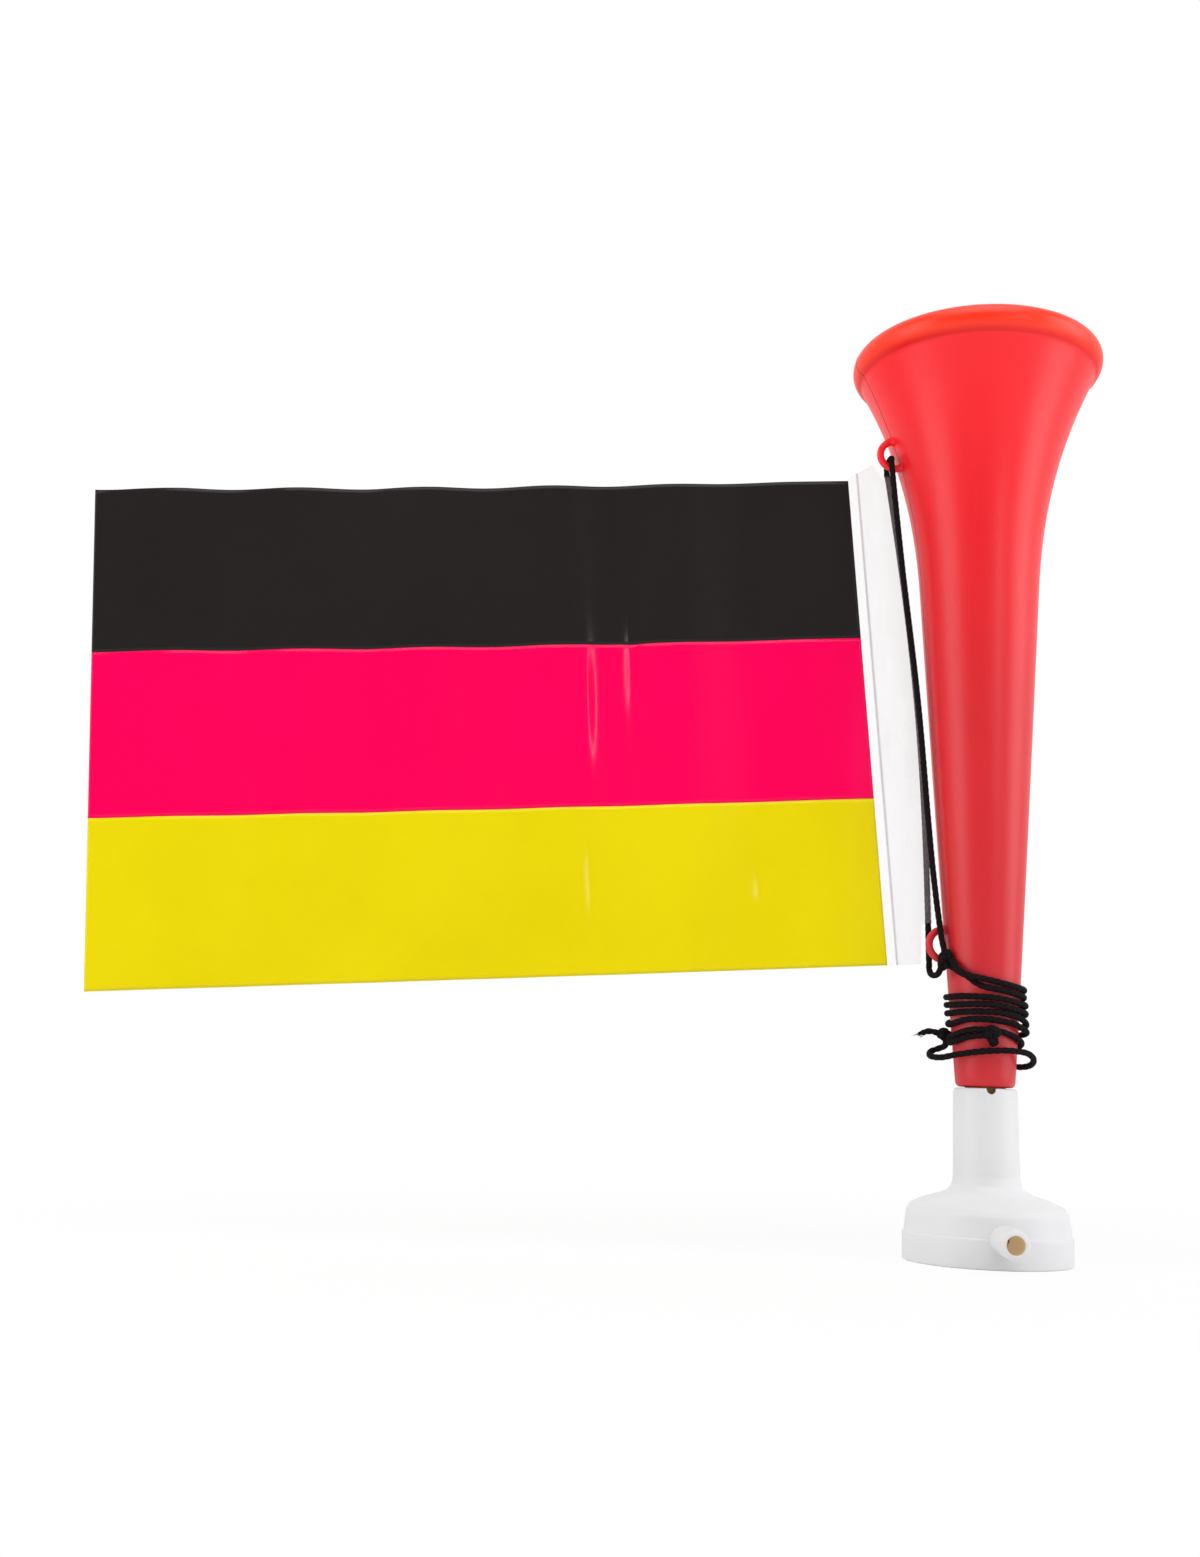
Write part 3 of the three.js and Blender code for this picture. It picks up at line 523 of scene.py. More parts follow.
# %% Cord pieces
STANDS_FOR = {
    "cord_front_strand": ["cord_front_strand", "cord_upper_turn"],
    "cord_waist_strand": [], "cord_waist_return": [], "cord_waist_lobe": [],
}
HOIST_POINTS = 9
hoist_up = np.linspace(HOIST_LOW_UP, HOIST_HIGH_UP, HOIST_POINTS)
routes = {
    "cord_front_strand": (FRONT_STRAND, (1, 0, 0)),
    "cord_hoist_strand": (flag_place(-hoist_bow(hoist_up), hoist_up, 0), (0, 1, 0)),
    "cord_eye_loop": (EYE_LOOP, (1, 0, 0)),
    "cord_winding_a": (round_stem(*np.transpose(WINDING_A)), (0, 0, 1)),
    "cord_winding_b": (round_stem(*np.transpose(WINDING_B)), (0, 0, 1)),
    "cord_waist_strand": (round_stem(*np.transpose(WAIST)), (0, 0, 1)),
    "cord_waist_return": (round_stem(*np.transpose(WAIST_RETURN)), (0, 0, 1)),
    "cord_low_turn": (LOW_TURN, (0, 0, 1)),
    "cord_tail": (TAIL, (0, 0, 1)),
}
route_lines = {}
cords = {}
for name, (points, reference) in routes.items():
    route = turn_group(smooth_route(points, BRAID_STEP))
    body = None if name == "cord_hoist_strand" else "horn_body"
    mesh = braided_tube(name.replace("cord", "braid"), route, reference)
    cords[name] = add_piece(mesh, black_cord, body, STANDS_FOR.get(name, [name]))
    route_lines[name] = route
    print(name, "length, mm:", round(route_length(route), 1))

# %% [markdown]
# A knot is the same cord pulled tight on itself. The simplest closed knot has a formula:
# a point goes three times round the tube of a ring while it goes twice round the ring.
# Squashed to the knot's outer size and swept with the cord's own braid, it gives the
# crossing lumps of a real one, and its shape is never twice the same from two sides.
# Each knot below has its place, its size, its tilt and how much thicker its cord is drawn.

# %% Knots
KNOT_STEPS = 400
KNOT_SWEEP = (0.31, 0.9, 0.3)


def knot_route(size, tilt_deg):
    """A closed knot of three lobes, scaled and tilted in its own plane.

    x = (2 + cos 3t) cos 2t / 3, z = (2 + cos 3t) sin 2t / 3 and y = sin 3t.
    """
    t = np.linspace(0, 2 * np.pi, KNOT_STEPS)
    ring = 2 + np.cos(3 * t)
    line = np.stack([ring * np.cos(2 * t) / 3, np.sin(3 * t), ring * np.sin(2 * t) / 3], axis=1)
    x, y, z = np.transpose(line * np.asarray(size))
    cos, sin = math.cos(math.radians(tilt_deg)), math.sin(math.radians(tilt_deg))
    return even_spacing(np.stack([x * cos - z * sin, y, x * sin + z * cos], axis=1), BRAID_STEP)


KNOTS = {
    "cord_eye_knot": ((-14.9, -4.5, 101.2), (1.7, 1.1, 2.9), -18, 1.15),
    "cord_waist_knot": (tuple(round_stem(-96, 76.6, 0.8)), (2.2, 0.9, 1.4), 12, 1.1),
    "cord_waist_lobe": (tuple(round_stem(-94, 73.9, 0.7)), (0.9, 0.7, 1.2), 0, 1.0),
    "cord_side_hitch": ((-13.3, 3.6, 76.1), (1.5, 1.5, 1.4), 30, 1.05),
}
for name, (place, size, tilt_deg, thickness) in KNOTS.items():
    line = turn_group(knot_route(size, tilt_deg) + np.asarray(place))
    mesh = braided_tube(name.replace("cord", "braid"), line, KNOT_SWEEP, thickness)
    add_piece(mesh, black_cord, "horn_body", STANDS_FOR.get(name, [name]))

# %% [markdown]
# The cut end has come apart into its yarns. Each is a hair-thin tapered tube that leaves
# the end in its own direction, and all of them are computed together as one array of
# yarns, rings and sides.

# %% Frayed end
YARN_COUNT = 18
YARN_LENGTH = 1.9
YARN_RADIUS = 0.19
YARN_SCATTER = 0.42
YARN_LEAN = 0.55
SHORTEST_SHARE = 0.45
YARN_RINGS = 7
YARN_SIDES = 5
YARN_SUNK = 0.6
FRAY_SEED = 7


def frayed_yarns(tip, heading):
    """Yarn k starts inside the tip and bends away as the square of its share of length."""
    rng = np.random.default_rng(FRAY_SEED)
    share = np.linspace(0, 1, YARN_RINGS)[None, :, None]
    start = tip + rng.normal(0, YARN_SCATTER, (YARN_COUNT, 1, 3))
    lean = rng.normal(0, YARN_LEAN, (YARN_COUNT, 1, 3))
    reach = YARN_LENGTH * rng.uniform(SHORTEST_SHARE, 1.0, (YARN_COUNT, 1, 1))
    line = start + reach * (share * heading + share**2 * lean)
    angle = np.linspace(0, 2 * np.pi, YARN_SIDES, endpoint=False)
    ring = np.stack([np.zeros(YARN_SIDES), np.cos(angle), np.sin(angle)], axis=1)
    taper = YARN_RADIUS * (1.02 - share[..., None] ** 2)
    return line[:, :, None, :] + taper * ring[None, None]


tail_line = route_lines["cord_tail"]
tail_heading = tail_line[-1] - tail_line[-4]
tail_heading /= np.linalg.norm(tail_heading)
yarns = frayed_yarns(tail_line[-1] - YARN_SUNK * tail_heading, tail_heading)
yarn_quads = grid_quads(YARN_RINGS, YARN_SIDES, wrap_columns=True)
yarn_start = (np.arange(YARN_COUNT) * YARN_RINGS * YARN_SIDES)[:, None, None]
fan = np.array([[0, k + 1, k] for k in range(1, YARN_SIDES - 1)])
end_fan = (YARN_RINGS - 1) * YARN_SIDES + fan[:, ::-1]
yarn_faces = (yarn_quads[None] + yarn_start).reshape(-1, 4)
yarn_ends = (np.concatenate([fan, end_fan])[None] + yarn_start).reshape(-1, 3)
yarn_mesh = new_mesh("braid_frayed_end", yarns.reshape(-1, 3), yarn_faces, yarn_ends)
frayed_end = add_piece(yarn_mesh, black_cord, "horn_body")
print("yarns:", YARN_COUNT)

# %% [markdown]
# It then measures how long the cord is in all.


cord_total = sum(route_length(line) for line in route_lines.values())
print("cord in all, mm:", round(cord_total))

# %% [markdown]
# The horn is blow-moulded: air presses a soft tube of plastic against a split mould. That leaves an even,
# slightly soft gloss, a wall without sharp corners, and a fine raised line where the two mould halves met.
# The finish is one colour with painted light and shade laid over it by height: a little darker low on the
# stem, painted light in the flare, which is blown thin and lets light through, a thin painted shade line in
# the crease under the lip, and a painted brighter, more orange rolled lip. The raised mould line gets
# painted shade near the bell. Long shallow ripples run the way it was drawn.

# %% Moulded plastics
CLOUDS = 16.0
GRAIN = 900.0
DRAWN_RIPPLES = 120.0
DRAWN_OUT = (1, 1, 0.14)
GRAIN_SHARE = 0.12


def moulded_finish(name, colour, shade, roughness, seam_painted_shade=None, painted_light_by_height=(), flow=0.00006):
    """Two close tones in broad clouds, ripples drawn out along Z and an uneven gloss.

    Each entry of the painted light table is two heights in metres and the colour of painted light or shade
    that takes over between them. The seam colour is painted shade on the mould line.
    """
    values = {"Roughness": roughness, "Specular IOR Level": 0.42}
    material, tree, shader, coordinates = new_finish(name, values)
    place = coordinates.outputs["Object"]
    clouds = noise(tree, place, CLOUDS, detail=2.0)
    grain = noise(tree, place, GRAIN, detail=2.0)
    ripples = noise(tree, place, DRAWN_RIPPLES, DRAWN_OUT, detail=2.0)
    tone = two_tone(tree, spread(tree, clouds, 0, 1), colour, shade)
    parts = add_node(tree, "ShaderNodeSeparateXYZ")
    tree.links.new(place, parts.inputs["Vector"])
    # Painted light and shade by height, laid into the base colour.
    for start, end, upper in painted_light_by_height:
        share = spread(tree, parts.outputs["Z"], 0, 1, start, end)
        tone = two_tone(tree, share, tone, upper)
    # Painted shade: the mould line's ridge darkened in the base colour.
    if seam_painted_shade:
        line = add_node(tree, "ShaderNodeAttribute", attribute_name="seam_painted_shade")
        tone = two_tone(tree, line.outputs["Fac"], tone, seam_painted_shade)
    tree.links.new(tone, shader.inputs["Base Color"])
    gloss = spread(tree, grain, roughness - 0.05, roughness + 0.06)
    tree.links.new(gloss, shader.inputs["Roughness"])
    relief = add_node(tree, "ShaderNodeMath", operation="MULTIPLY_ADD")
    relief.inputs[1].default_value = GRAIN_SHARE
    tree.links.new(grain, relief.inputs[0])
    tree.links.new(ripples, relief.inputs[2])
    add_bump(tree, shader, relief.outputs["Value"], flow)
    return material


# Painted light by height: darker low on the stem, brighter flare and lip, and a thin painted shade line in
# the crease under the lip.
RED_PAINTED_LIGHT_BY_HEIGHT = [
    (0.08, 0.16, (0.70, 0.017, 0.025)), (0.19, 0.30, (0.98, 0.008, 0.016)),
    (0.3188, 0.3193, (0.82, 0.002, 0.001)), (0.3197, 0.3213, (1.0, 0.030, 0.003)),
]
# Painted shade along the mould line's ridge.
RED_SEAM_PAINTED_SHADE = (0.14, 0.004, 0.006)
red_plastic = moulded_finish(
    "red_plastic", (0.62, 0.017, 0.026), (0.58, 0.014, 0.022), 0.37, RED_SEAM_PAINTED_SHADE, RED_PAINTED_LIGHT_BY_HEIGHT
)
print("made", red_plastic.name)

# %% [markdown]
# The horn's wall is one closed outline turned about its axis: up the outside, round the
# rolled lip, down the inside and back under the foot.

# %% Horn wall
HORN_WALL = 1.5
FOOT_NOSE = 1.5
HORN_HOLE_RADIUS = 7.2
LIP_CURL_DEG = 115
WALL_ROWS = 150


def arc(centre_radius, centre_z, radius, start_deg, end_deg, count):
    """Points of a circle's arc in the outline's plane, as radius and height."""
    angle = np.radians(np.linspace(start_deg, end_deg, count))
    return np.stack([centre_radius + radius * np.cos(angle), centre_z + radius * np.sin(angle)], axis=1)


def horn_outline():
    """Outside, lip, inside and foot of the horn as one closed loop of radius and height."""
    z = np.linspace(HORN_FOOT_Z + FOOT_NOSE, FLARE_TOP_Z, WALL_ROWS)
    outside = np.stack([horn_radius(z), z], axis=1)
    slope = np.arctan(np.gradient(horn_radius(z), z))
    offset = HORN_WALL * np.stack([-np.cos(slope), np.sin(slope)], axis=1)
    inside = (outside + offset)[z > HORN_FOOT_Z + 2 * FOOT_NOSE][::-1]
    lip_inside = LIP_ROLL_RADIUS - HORN_WALL
    centre = (LIP_CENTRE_RADIUS, LIP_CENTRE_Z)
    roll = arc(*centre, LIP_ROLL_RADIUS, LIP_START_DEG, LIP_CURL_DEG, 44)[1:]
    edge = arc(*centre, lip_inside, LIP_CURL_DEG, LIP_START_DEG + 10, 32)
    foot_inside = np.array([
        [STEM_FOOT_RADIUS - HORN_WALL, HORN_FOOT_Z + FOOT_NOSE + 1.2],
        [HORN_HOLE_RADIUS + 0.25, HORN_FOOT_Z + FOOT_NOSE + 0.15],
        [HORN_HOLE_RADIUS, HORN_FOOT_Z + FOOT_NOSE - 0.1],
        [HORN_HOLE_RADIUS, HORN_FOOT_Z + 0.2],
        [HORN_HOLE_RADIUS + 0.2, HORN_FOOT_Z],
    ])
    nose_centre = (STEM_FOOT_RADIUS - FOOT_NOSE + 0.1, HORN_FOOT_Z + FOOT_NOSE)
    nose = arc(*nose_centre, FOOT_NOSE - 0.08, -90, -8, 9)
    return np.concatenate([outside, roll, edge, inside, foot_inside, nose])


outline = horn_outline()
print("horn outline points:", len(outline))

# %% [markdown]
# The mould line isn't a separate strip. It is a narrow bulge of the same surface at two opposite azimuths,
# so columns of the grid are packed closer there. The bulge is darkened with painted shade only near the
# bell: the painted shade starts beside the upper eye and is full a little above it.

# %% Horn surface
PARTING_HEIGHT = 0.13
PARTING_WIDTH = 0.28
SEAM_UNSHADED_BELOW = 285
SEAM_FADE = 10
HORN_COLUMNS = 220
CROWD_OFFSETS = np.array([-0.05, -0.03, -0.02, -0.012, -0.006, 0, 0.006, 0.012, 0.02, 0.03, 0.05])


def seam_azimuths():
    """Even azimuths, with extra ones crowded round the two mould lines."""
    even = np.linspace(0, 2 * np.pi, HORN_COLUMNS, endpoint=False)
    crowded = (FLAG_TURN + np.array([[0], [np.pi]]) + CROWD_OFFSETS).ravel()
    return np.unique(np.mod(np.concatenate([even, crowded]), 2 * np.pi))


def turned(radius, azimuth, z):
    """Points of a surface turned about Z: (radius * cos, radius * sin, z)."""
    x, y = radius * np.cos(azimuth), radius * np.sin(azimuth)
    return np.stack(np.broadcast_arrays(x, y, z), axis=-1)


def horn_grid(outline, azimuth):
    """The outline turned about Z; outside faces swell by height * exp(-(distance / width)^2)."""
    radius, z = outline[:, :1], outline[:, 1:]
    outward = np.gradient(outline[:, 1])[:, None] >= 0
    away = np.abs(np.angle(np.exp(2j * (azimuth - FLAG_TURN)))) / 2
    ridge = np.exp(-((away[None, :] * radius / PARTING_WIDTH) ** 2)) * outward
    return turned(radius + PARTING_HEIGHT * ridge, azimuth, z), ridge


azimuths = seam_azimuths()
horn_points, ridge = horn_grid(outline, azimuths)
horn_quads = grid_quads(len(outline), len(azimuths), True, True)
horn_mesh = new_mesh("horn_shell", horn_points.reshape(-1, 3), horn_quads)
# Painted shade on the mould line's ridge, only near the bell.
seam_shade_share = np.clip((outline[:, 1:] - SEAM_UNSHADED_BELOW) / SEAM_FADE, 0, 1)
give_attribute(horn_mesh, "seam_painted_shade", np.clip(ridge * seam_shade_share, 0, 1).ravel())
add_piece(horn_mesh, red_plastic, "horn_body", ["horn"])
print("horn grid:", horn_points.shape[:2])

# %% [markdown]
# The two eyes are moulded in one with the horn, on the mould line. Each is a round bar
# bent to a ring that sinks into the wall, and where it does so it swells, as the plastic
# does when it fills a corner. Only the arc that shows, and a little more, is made. Each
# eye has its height and how far its ring's middle stands off the wall.

# %% Cord eyes
EYE_RING_RADIUS = 5.35
EYE_BAR_RADIUS = 1.3
EYE_FILLET = 0.75
EYE_FILLET_REACH = 0.7
EYE_SUNK = 0.9
EYE_SIDES = 28
EYES = {"upper_eye": (288.6, 0.9), "lower_eye": (107.0, 0.67)}


def eye_ring(z, stand_off, angle):
    """The ring's centre line at each angle, and how far it clears the wall there."""
    x = EYE_RING_RADIUS * np.cos(angle) - float(horn_radius(z)) - stand_off
    height = z + EYE_RING_RADIUS * np.sin(angle)
    return np.stack([x, np.zeros_like(x), height], axis=1), -x - horn_radius(height)


def eye_rings(z, stand_off):
    """A torus arc whose bar radius grows as exp(-distance to the wall / reach)."""
    angle = np.linspace(0, 2 * np.pi, 2000)
    shown = angle[eye_ring(z, stand_off, angle)[1] > -EYE_SUNK]
    line, clear = eye_ring(z, stand_off, np.linspace(shown.min(), shown.max(), 72))
    bar = EYE_BAR_RADIUS + EYE_FILLET * np.exp(-np.clip(clear, 0, None) / EYE_FILLET_REACH)
    return turn_group(tube_rings(line, np.repeat(bar[:, None], EYE_SIDES, axis=1), (0, 1, 0)))


for name, (z, stand_off) in EYES.items():
    mesh = capped_tube(name + "_ring", eye_rings(z, stand_off))
    give_attribute(mesh, "seam_painted_shade", np.zeros(len(mesh.vertices)))
    add_piece(mesh, red_plastic, "horn_body", [name])
print("on the mould line:", ", ".join(EYES))

# %% [markdown]
# The sound head is injection-moulded in white: a low drum, a slightly smaller tapered
# band, a dome and a neck. A lathe makes all of that, inside and out, from profiles given
# as radius and height.

# %% Sound head profile
NECK_TOP_Z = 57.9


def rounded(profile, radius, count=5):
    """Replaces each inner corner of a profile by a short curve that cuts it off.

    The curve is (1-t)^2 * before + 2t(1-t) * corner + t^2 * after.
    """
    profile = np.asarray(profile, float)
    corner = profile[1:-1]
    before, after = profile[:-2] - corner, profile[2:] - corner
    reach_before = np.minimum(radius, np.linalg.norm(before, axis=1) / 2)[:, None]
    reach_after = np.minimum(radius, np.linalg.norm(after, axis=1) / 2)[:, None]
    start = corner + before / np.linalg.norm(before, axis=1)[:, None] * reach_before
    end = corner + after / np.linalg.norm(after, axis=1)[:, None] * reach_after
    t = np.linspace(0, 1, count)[None, :, None]
    curve = (1 - t) ** 2 * start[:, None] + 2 * t * (1 - t) * corner[:, None] + t**2 * end[:, None]
    return np.concatenate([profile[:1], curve.reshape(-1, 2), profile[-1:]])


def lathe_mesh(name, profile, steps=160):
    """A closed solid turned about Z from a profile that starts and ends on the axis."""
    profile = np.asarray(profile, float)
    angle = np.linspace(0, 2 * np.pi, steps, endpoint=False)
    radius, z = profile[1:-1, :1], profile[1:-1, 1:]
    mesh = capped_tube(name, turned(radius, angle, z))
    mesh.vertices[-2].co = (0, 0, profile[0, 1] * MM)
    mesh.vertices[-1].co = (0, 0, profile[-1, 1] * MM)
    return mesh


HEAD_OUTSIDE = [
    (0, 0), (28.5, 0), (28.5, 9.5), (28.0, 9.55), (27.1, 16.4), (25.9, 18.7), (21.3, 20.8), (15.7, 22.5),
    (13.1, 23.6), (11.75, 25.4), (11.2, 28.1), (10.9, 56.7), (10.5, 57.6), (9.9, NECK_TOP_Z),
    (0, NECK_TOP_Z),
]
HEAD_HOLLOW = [
    (0, -1), (26.7, -1), (26.7, 5.4), (24.8, 5.4), (24.8, 15.6), (23.2, 17.1), (20.2, 18.7), (14.9, 20.4),
    (8.65, 22.6), (8.15, 25.6), (8.15, 50.6), (9.1, 50.6), (9.1, 58.9), (0, 58.9),
]
print("head profile corners:", len(HEAD_OUTSIDE))

# %% [markdown]
# The blow tube and the cuts aren't round about the same axis as the head, so they are
# separate solids that a Boolean joins and takes away. Each result is baked into the mesh
# at once, because a live Boolean would need its helper objects to stay in the scene.

# %% Sound head solids
BLOW_AXIS_Z = 9.45
BLOW_RADIUS = 4.7
BLOW_BORE_RADIUS = 3.72
BLOW_LIP_RADIUS = 3.05
BLOW_LIP_THICK = 1.0
BLOW_ROOT = 25.2
BLOW_TIP = 45.3
BLOW_TIP_ROUND = 1.3
BORE_START = 20.8
NOTCH_RADIUS = 1.65
NOTCH_DEPTH = 2.0
NOTCH_REACH = (6.5, 13.5)


def peg(radius, start, end):
    """The profile of a plain round peg between two heights."""
    return [(0, start), (radius, start), (radius, end), (0, end)]


def lay_down(mesh, height=BLOW_AXIS_Z):
    """Lays a turned mesh along -Y at the blow tube's height, or at another."""
    lift = Matrix.Translation((0, 0, height * MM))
    mesh.transform(lift @ Matrix.Rotation(math.pi / 2, 4, "X"))
    return mesh


def boolean(target, mesh, operation):
    """Joins a solid to a target or takes it away, by way of a helper that is deleted."""
    helper = new_object(mesh.name, mesh)
    modifier = target.modifiers.new(operation, "BOOLEAN")
    modifier.operation = operation
    modifier.solver = "EXACT"
    modifier.object = helper
    depsgraph = bpy.context.evaluated_depsgraph_get()
    result = bpy.data.meshes.new_from_object(target.evaluated_get(depsgraph))
    target.modifiers.clear()
    old = target.data
    target.data = result
    bpy.data.meshes.remove(old)
    bpy.data.objects.remove(helper)


tip_arc = arc(BLOW_RADIUS - BLOW_TIP_ROUND, BLOW_TIP - BLOW_TIP_ROUND, BLOW_TIP_ROUND, 0, 90, 8)
blow_profile = [(0, BLOW_ROOT), (BLOW_RADIUS, BLOW_ROOT), *tip_arc, (0, BLOW_TIP)]
lip_back, past_tip = BLOW_TIP - BLOW_LIP_THICK, BLOW_TIP + 1.0
bore_profile = [
    (0, BORE_START), (BLOW_BORE_RADIUS, BORE_START), (BLOW_BORE_RADIUS, lip_back),
    (BLOW_LIP_RADIUS, lip_back), (BLOW_LIP_RADIUS, past_tip), (0, past_tip),
]
notch_z = NECK_TOP_Z - NOTCH_DEPTH + NOTCH_RADIUS
head_mesh = lathe_mesh("sound_head_shell", rounded(HEAD_OUTSIDE, 0.7), 192)
head = new_object("sound_head_shell", head_mesh)
boolean(head, lay_down(lathe_mesh("blow_tube", blow_profile, 72)), "UNION")
boolean(head, lathe_mesh("hollow", rounded(HEAD_HOLLOW, 0.6), 144), "DIFFERENCE")
boolean(head, lay_down(lathe_mesh("blow_bore", bore_profile, 64)), "DIFFERENCE")
notch = lathe_mesh("notch", peg(NOTCH_RADIUS, *NOTCH_REACH), 48)
boolean(head, lay_down(notch, notch_z), "DIFFERENCE")
head.data.name = "sound_head_shell"
print("head faces:", len(head.data.polygons))

# %% [markdown]
# White moulding plastic needs little: a cool off-white, a soft gloss and the faint drawn ripples of the
# mould. The tan tube and liner inside are a rougher, cheaper grade. They show only at the notch in the neck
# and down the bore, where they look like card. Down the bore and low in the tube the tan has a painted glow,
# an emission that stands in for daylight coming through the thin white wall round the bore.
# The film of the diaphragm is clear, and looks grey in the dark behind the vents.

# %% White, tan and clear plastics
white_plastic = moulded_finish(
    "white_plastic", (0.765, 0.77, 0.78), (0.72, 0.725, 0.74), 0.42, flow=0.00004
)
tan_plastic = moulded_finish("tan_plastic", (0.46, 0.31, 0.12), (0.33, 0.21, 0.075), 0.66)
# Painted light: the tan glows, in place of daylight through the thin white wall.
TAN_PAINTED_GLOW = (0.36, 0.275, 0.17, 1)
tan_tree = tan_plastic.node_tree
tan_shader = tan_tree.nodes["Principled BSDF"]
painted_glow = add_node(tan_tree, "ShaderNodeAttribute", attribute_name="painted_glow")
tan_shader.inputs["Emission Color"].default_value = TAN_PAINTED_GLOW
tan_tree.links.new(painted_glow.outputs["Fac"], tan_shader.inputs["Emission Strength"])
clear_film = moulded_finish("clear_film", (0.70, 0.70, 0.66), (0.62, 0.62, 0.58), 0.30)
print("made", white_plastic.name, tan_plastic.name, clear_film.name)

# %% [markdown]
# The sound tube starts just above the diaphragm, centres itself with a collar in the
# neck's mouth, and plugs into the horn's foot past a small snap bead. The liner is a short
# sleeve inside the blow tube. Both are rings turned from a closed outline. Turned faces
# are shaded smooth, but an edge sharper than a limit stays crisp.

# %% Head, sound tube and liner
SHARP_EDGE_DEG = 32
RING_STEPS = 128


def crisp(mesh):
    """Smooth faces that keep edges sharper than the limit."""
    mesh.polygons.foreach_set("use_smooth", np.ones(len(mesh.polygons), bool))
    mesh.set_sharp_from_angle(angle=math.radians(SHARP_EDGE_DEG))
    return mesh


def ring_mesh(name, profile, steps=RING_STEPS):
    """A hollow turned ring from a closed profile that never meets the axis."""
    profile = np.asarray(profile, float)
    angle = np.linspace(0, 2 * np.pi, steps, endpoint=False)
    points = turned(profile[:, :1], angle, profile[:, 1:]).reshape(-1, 3)
    return crisp(new_mesh(name, points, grid_quads(len(profile), steps, True, True)))


crisp(head.data)
dress(head, white_plastic, "horn_body", ["sound_head"])

SOUND_TUBE = [
    (6.9, 5.4), (6.9, 21.8), (6.9, 24), (6.9, 50.9), (8.8, 50.9), (8.8, 53.9), (6.9, 53.9), (6.9, 60.0),
    (7.75, 60.4), (7.75, 60.9), (6.9, 61.6), (6.9, 73.1), (6.4, 73.9), (5.7, 73.9), (5.7, 5.4),
]
# Painted glow on the tube below the chamber's top and on the whole liner.
PAINTED_GLOW_SHARE = 0.75
CHAMBER_TOP = 22.0
tube_mesh = ring_mesh("sound_tube_wall", SOUND_TUBE)
tube_heights = np.repeat(np.asarray(SOUND_TUBE)[:, 1], RING_STEPS)
give_attribute(tube_mesh, "painted_glow", PAINTED_GLOW_SHARE * (tube_heights < CHAMBER_TOP))
add_piece(tube_mesh, tan_plastic, "horn_body", ["sound_tube"])
LINER = [(3.7, 21.4), (3.7, 44.2), (3.6, 44.28), (3.05, 44.28), (3.0, 44.2), (3.0, 21.4)]
liner_mesh = lay_down(ring_mesh("blow_liner_wall", LINER, 72))
give_attribute(liner_mesh, "painted_glow", np.full(len(liner_mesh.vertices), PAINTED_GLOW_SHARE))
add_piece(liner_mesh, tan_plastic, "horn_body", ["blow_liner"])
print("sound tube top, mm:", max(z for _, z in SOUND_TUBE))

# %% [markdown]
# Under the sound tube lies the diaphragm, a disc of film that lifts off the tube's end
# when the horn is blown, so it rides on a body of its own. A cap is pressed in below it.
# Its small vents let the breath out, and each is a peg that a Boolean takes away.

# %% Diaphragm and base cap
FILM_PROFILE = [(0, 4.75), (26.3, 4.75), (26.4, 4.8), (26.4, 5.05), (26.3, 5.1), (0, 5.1)]
film_mesh = crisp(lathe_mesh("diaphragm_film", FILM_PROFILE))
add_piece(film_mesh, clear_film, "diaphragm_disc", ["diaphragm"])

VENT_RADIUS = 1.6
VENT_CIRCLE = 14
VENT_COUNT = 6
CAP_PROFILE = [(0, 0), (26.0, 0), (26.4, 0.4), (26.4, 4.05), (24.4, 4.05), (24.4, 1.6), (0, 1.6)]
cap = new_object("base_cap_dish", lathe_mesh("base_cap_dish", rounded(CAP_PROFILE, 0.25)))
for number in range(VENT_COUNT):
    angle = 2 * math.pi * (number + 0.5) / VENT_COUNT
    vent = lathe_mesh("vent", peg(VENT_RADIUS, -1, 3), 40)
    place = Vector((math.cos(angle), math.sin(angle), 0)) * VENT_CIRCLE * MM
    vent.transform(Matrix.Translation(place))
    boolean(cap, vent, "DIFFERENCE")
cap.data.name = "base_cap_dish"
crisp(cap.data)
dress(cap, white_plastic, "horn_body", ["base_cap"])
print("vents in the cap:", VENT_COUNT)

# %% [markdown]
# The flag is a thin printed film. It hangs almost flat behind the hoist, with a shallow
# belly, waves that grow towards the free top edge, and a few soft creases where it was
# folded in its packet. All three bands are cut from one surface formula, so the prints
# meet edge to edge and every crease runs through all of them.

# %% Flag surface
HEM_WIDTH = 15.1
FLAG_LENGTH = 275.5
FLAG_HEIGHT = 179.0
FLAG_DROP = 7.5
FLAG_RISE_TO_FLY = 3.0
FLAG_SAG = 2.6
FLAG_WAVE = 1.2
FLAG_WAVE_LENGTH = 46.0
WAVE_AT_FOOT = 0.3
STILL_SHARE = 0.12
WAVE_EASE = 0.36
CREASE_BEND = 2.0
FILM_THICK = 0.15
FLAG_SKEW = 1.6
BAND_EDGES = (0, 1 / 3, 2 / 3, 1.006)
BAND_ROWS = 41
BAND_COLUMNS = 321
CREASES = [
    (97.5, 1.1, 3.1, 0.62, 0.16), (115, -0.8, 2.4, 0.55, 0.12), (116, 0.5, 2.0, 0.18, 0.09),
    (56.5, 0.45, 1.9, 0.16, 0.04), (38, 0.4, 2.4, 0.60, 0.08), (268, 0.5, 7, 0.85, 0.2),
    (193, 0.25, 5, 0.5, 0.6), (52, -0.3, 5, 0.8, 0.2),
]


def flag_foot(out):
    """Lower edge: a drop below the hoist foot that eases off towards the fly."""
    return -FLAG_DROP + FLAG_RISE_TO_FLY * np.clip(out - HEM_WIDTH, 0, None) / FLAG_LENGTH


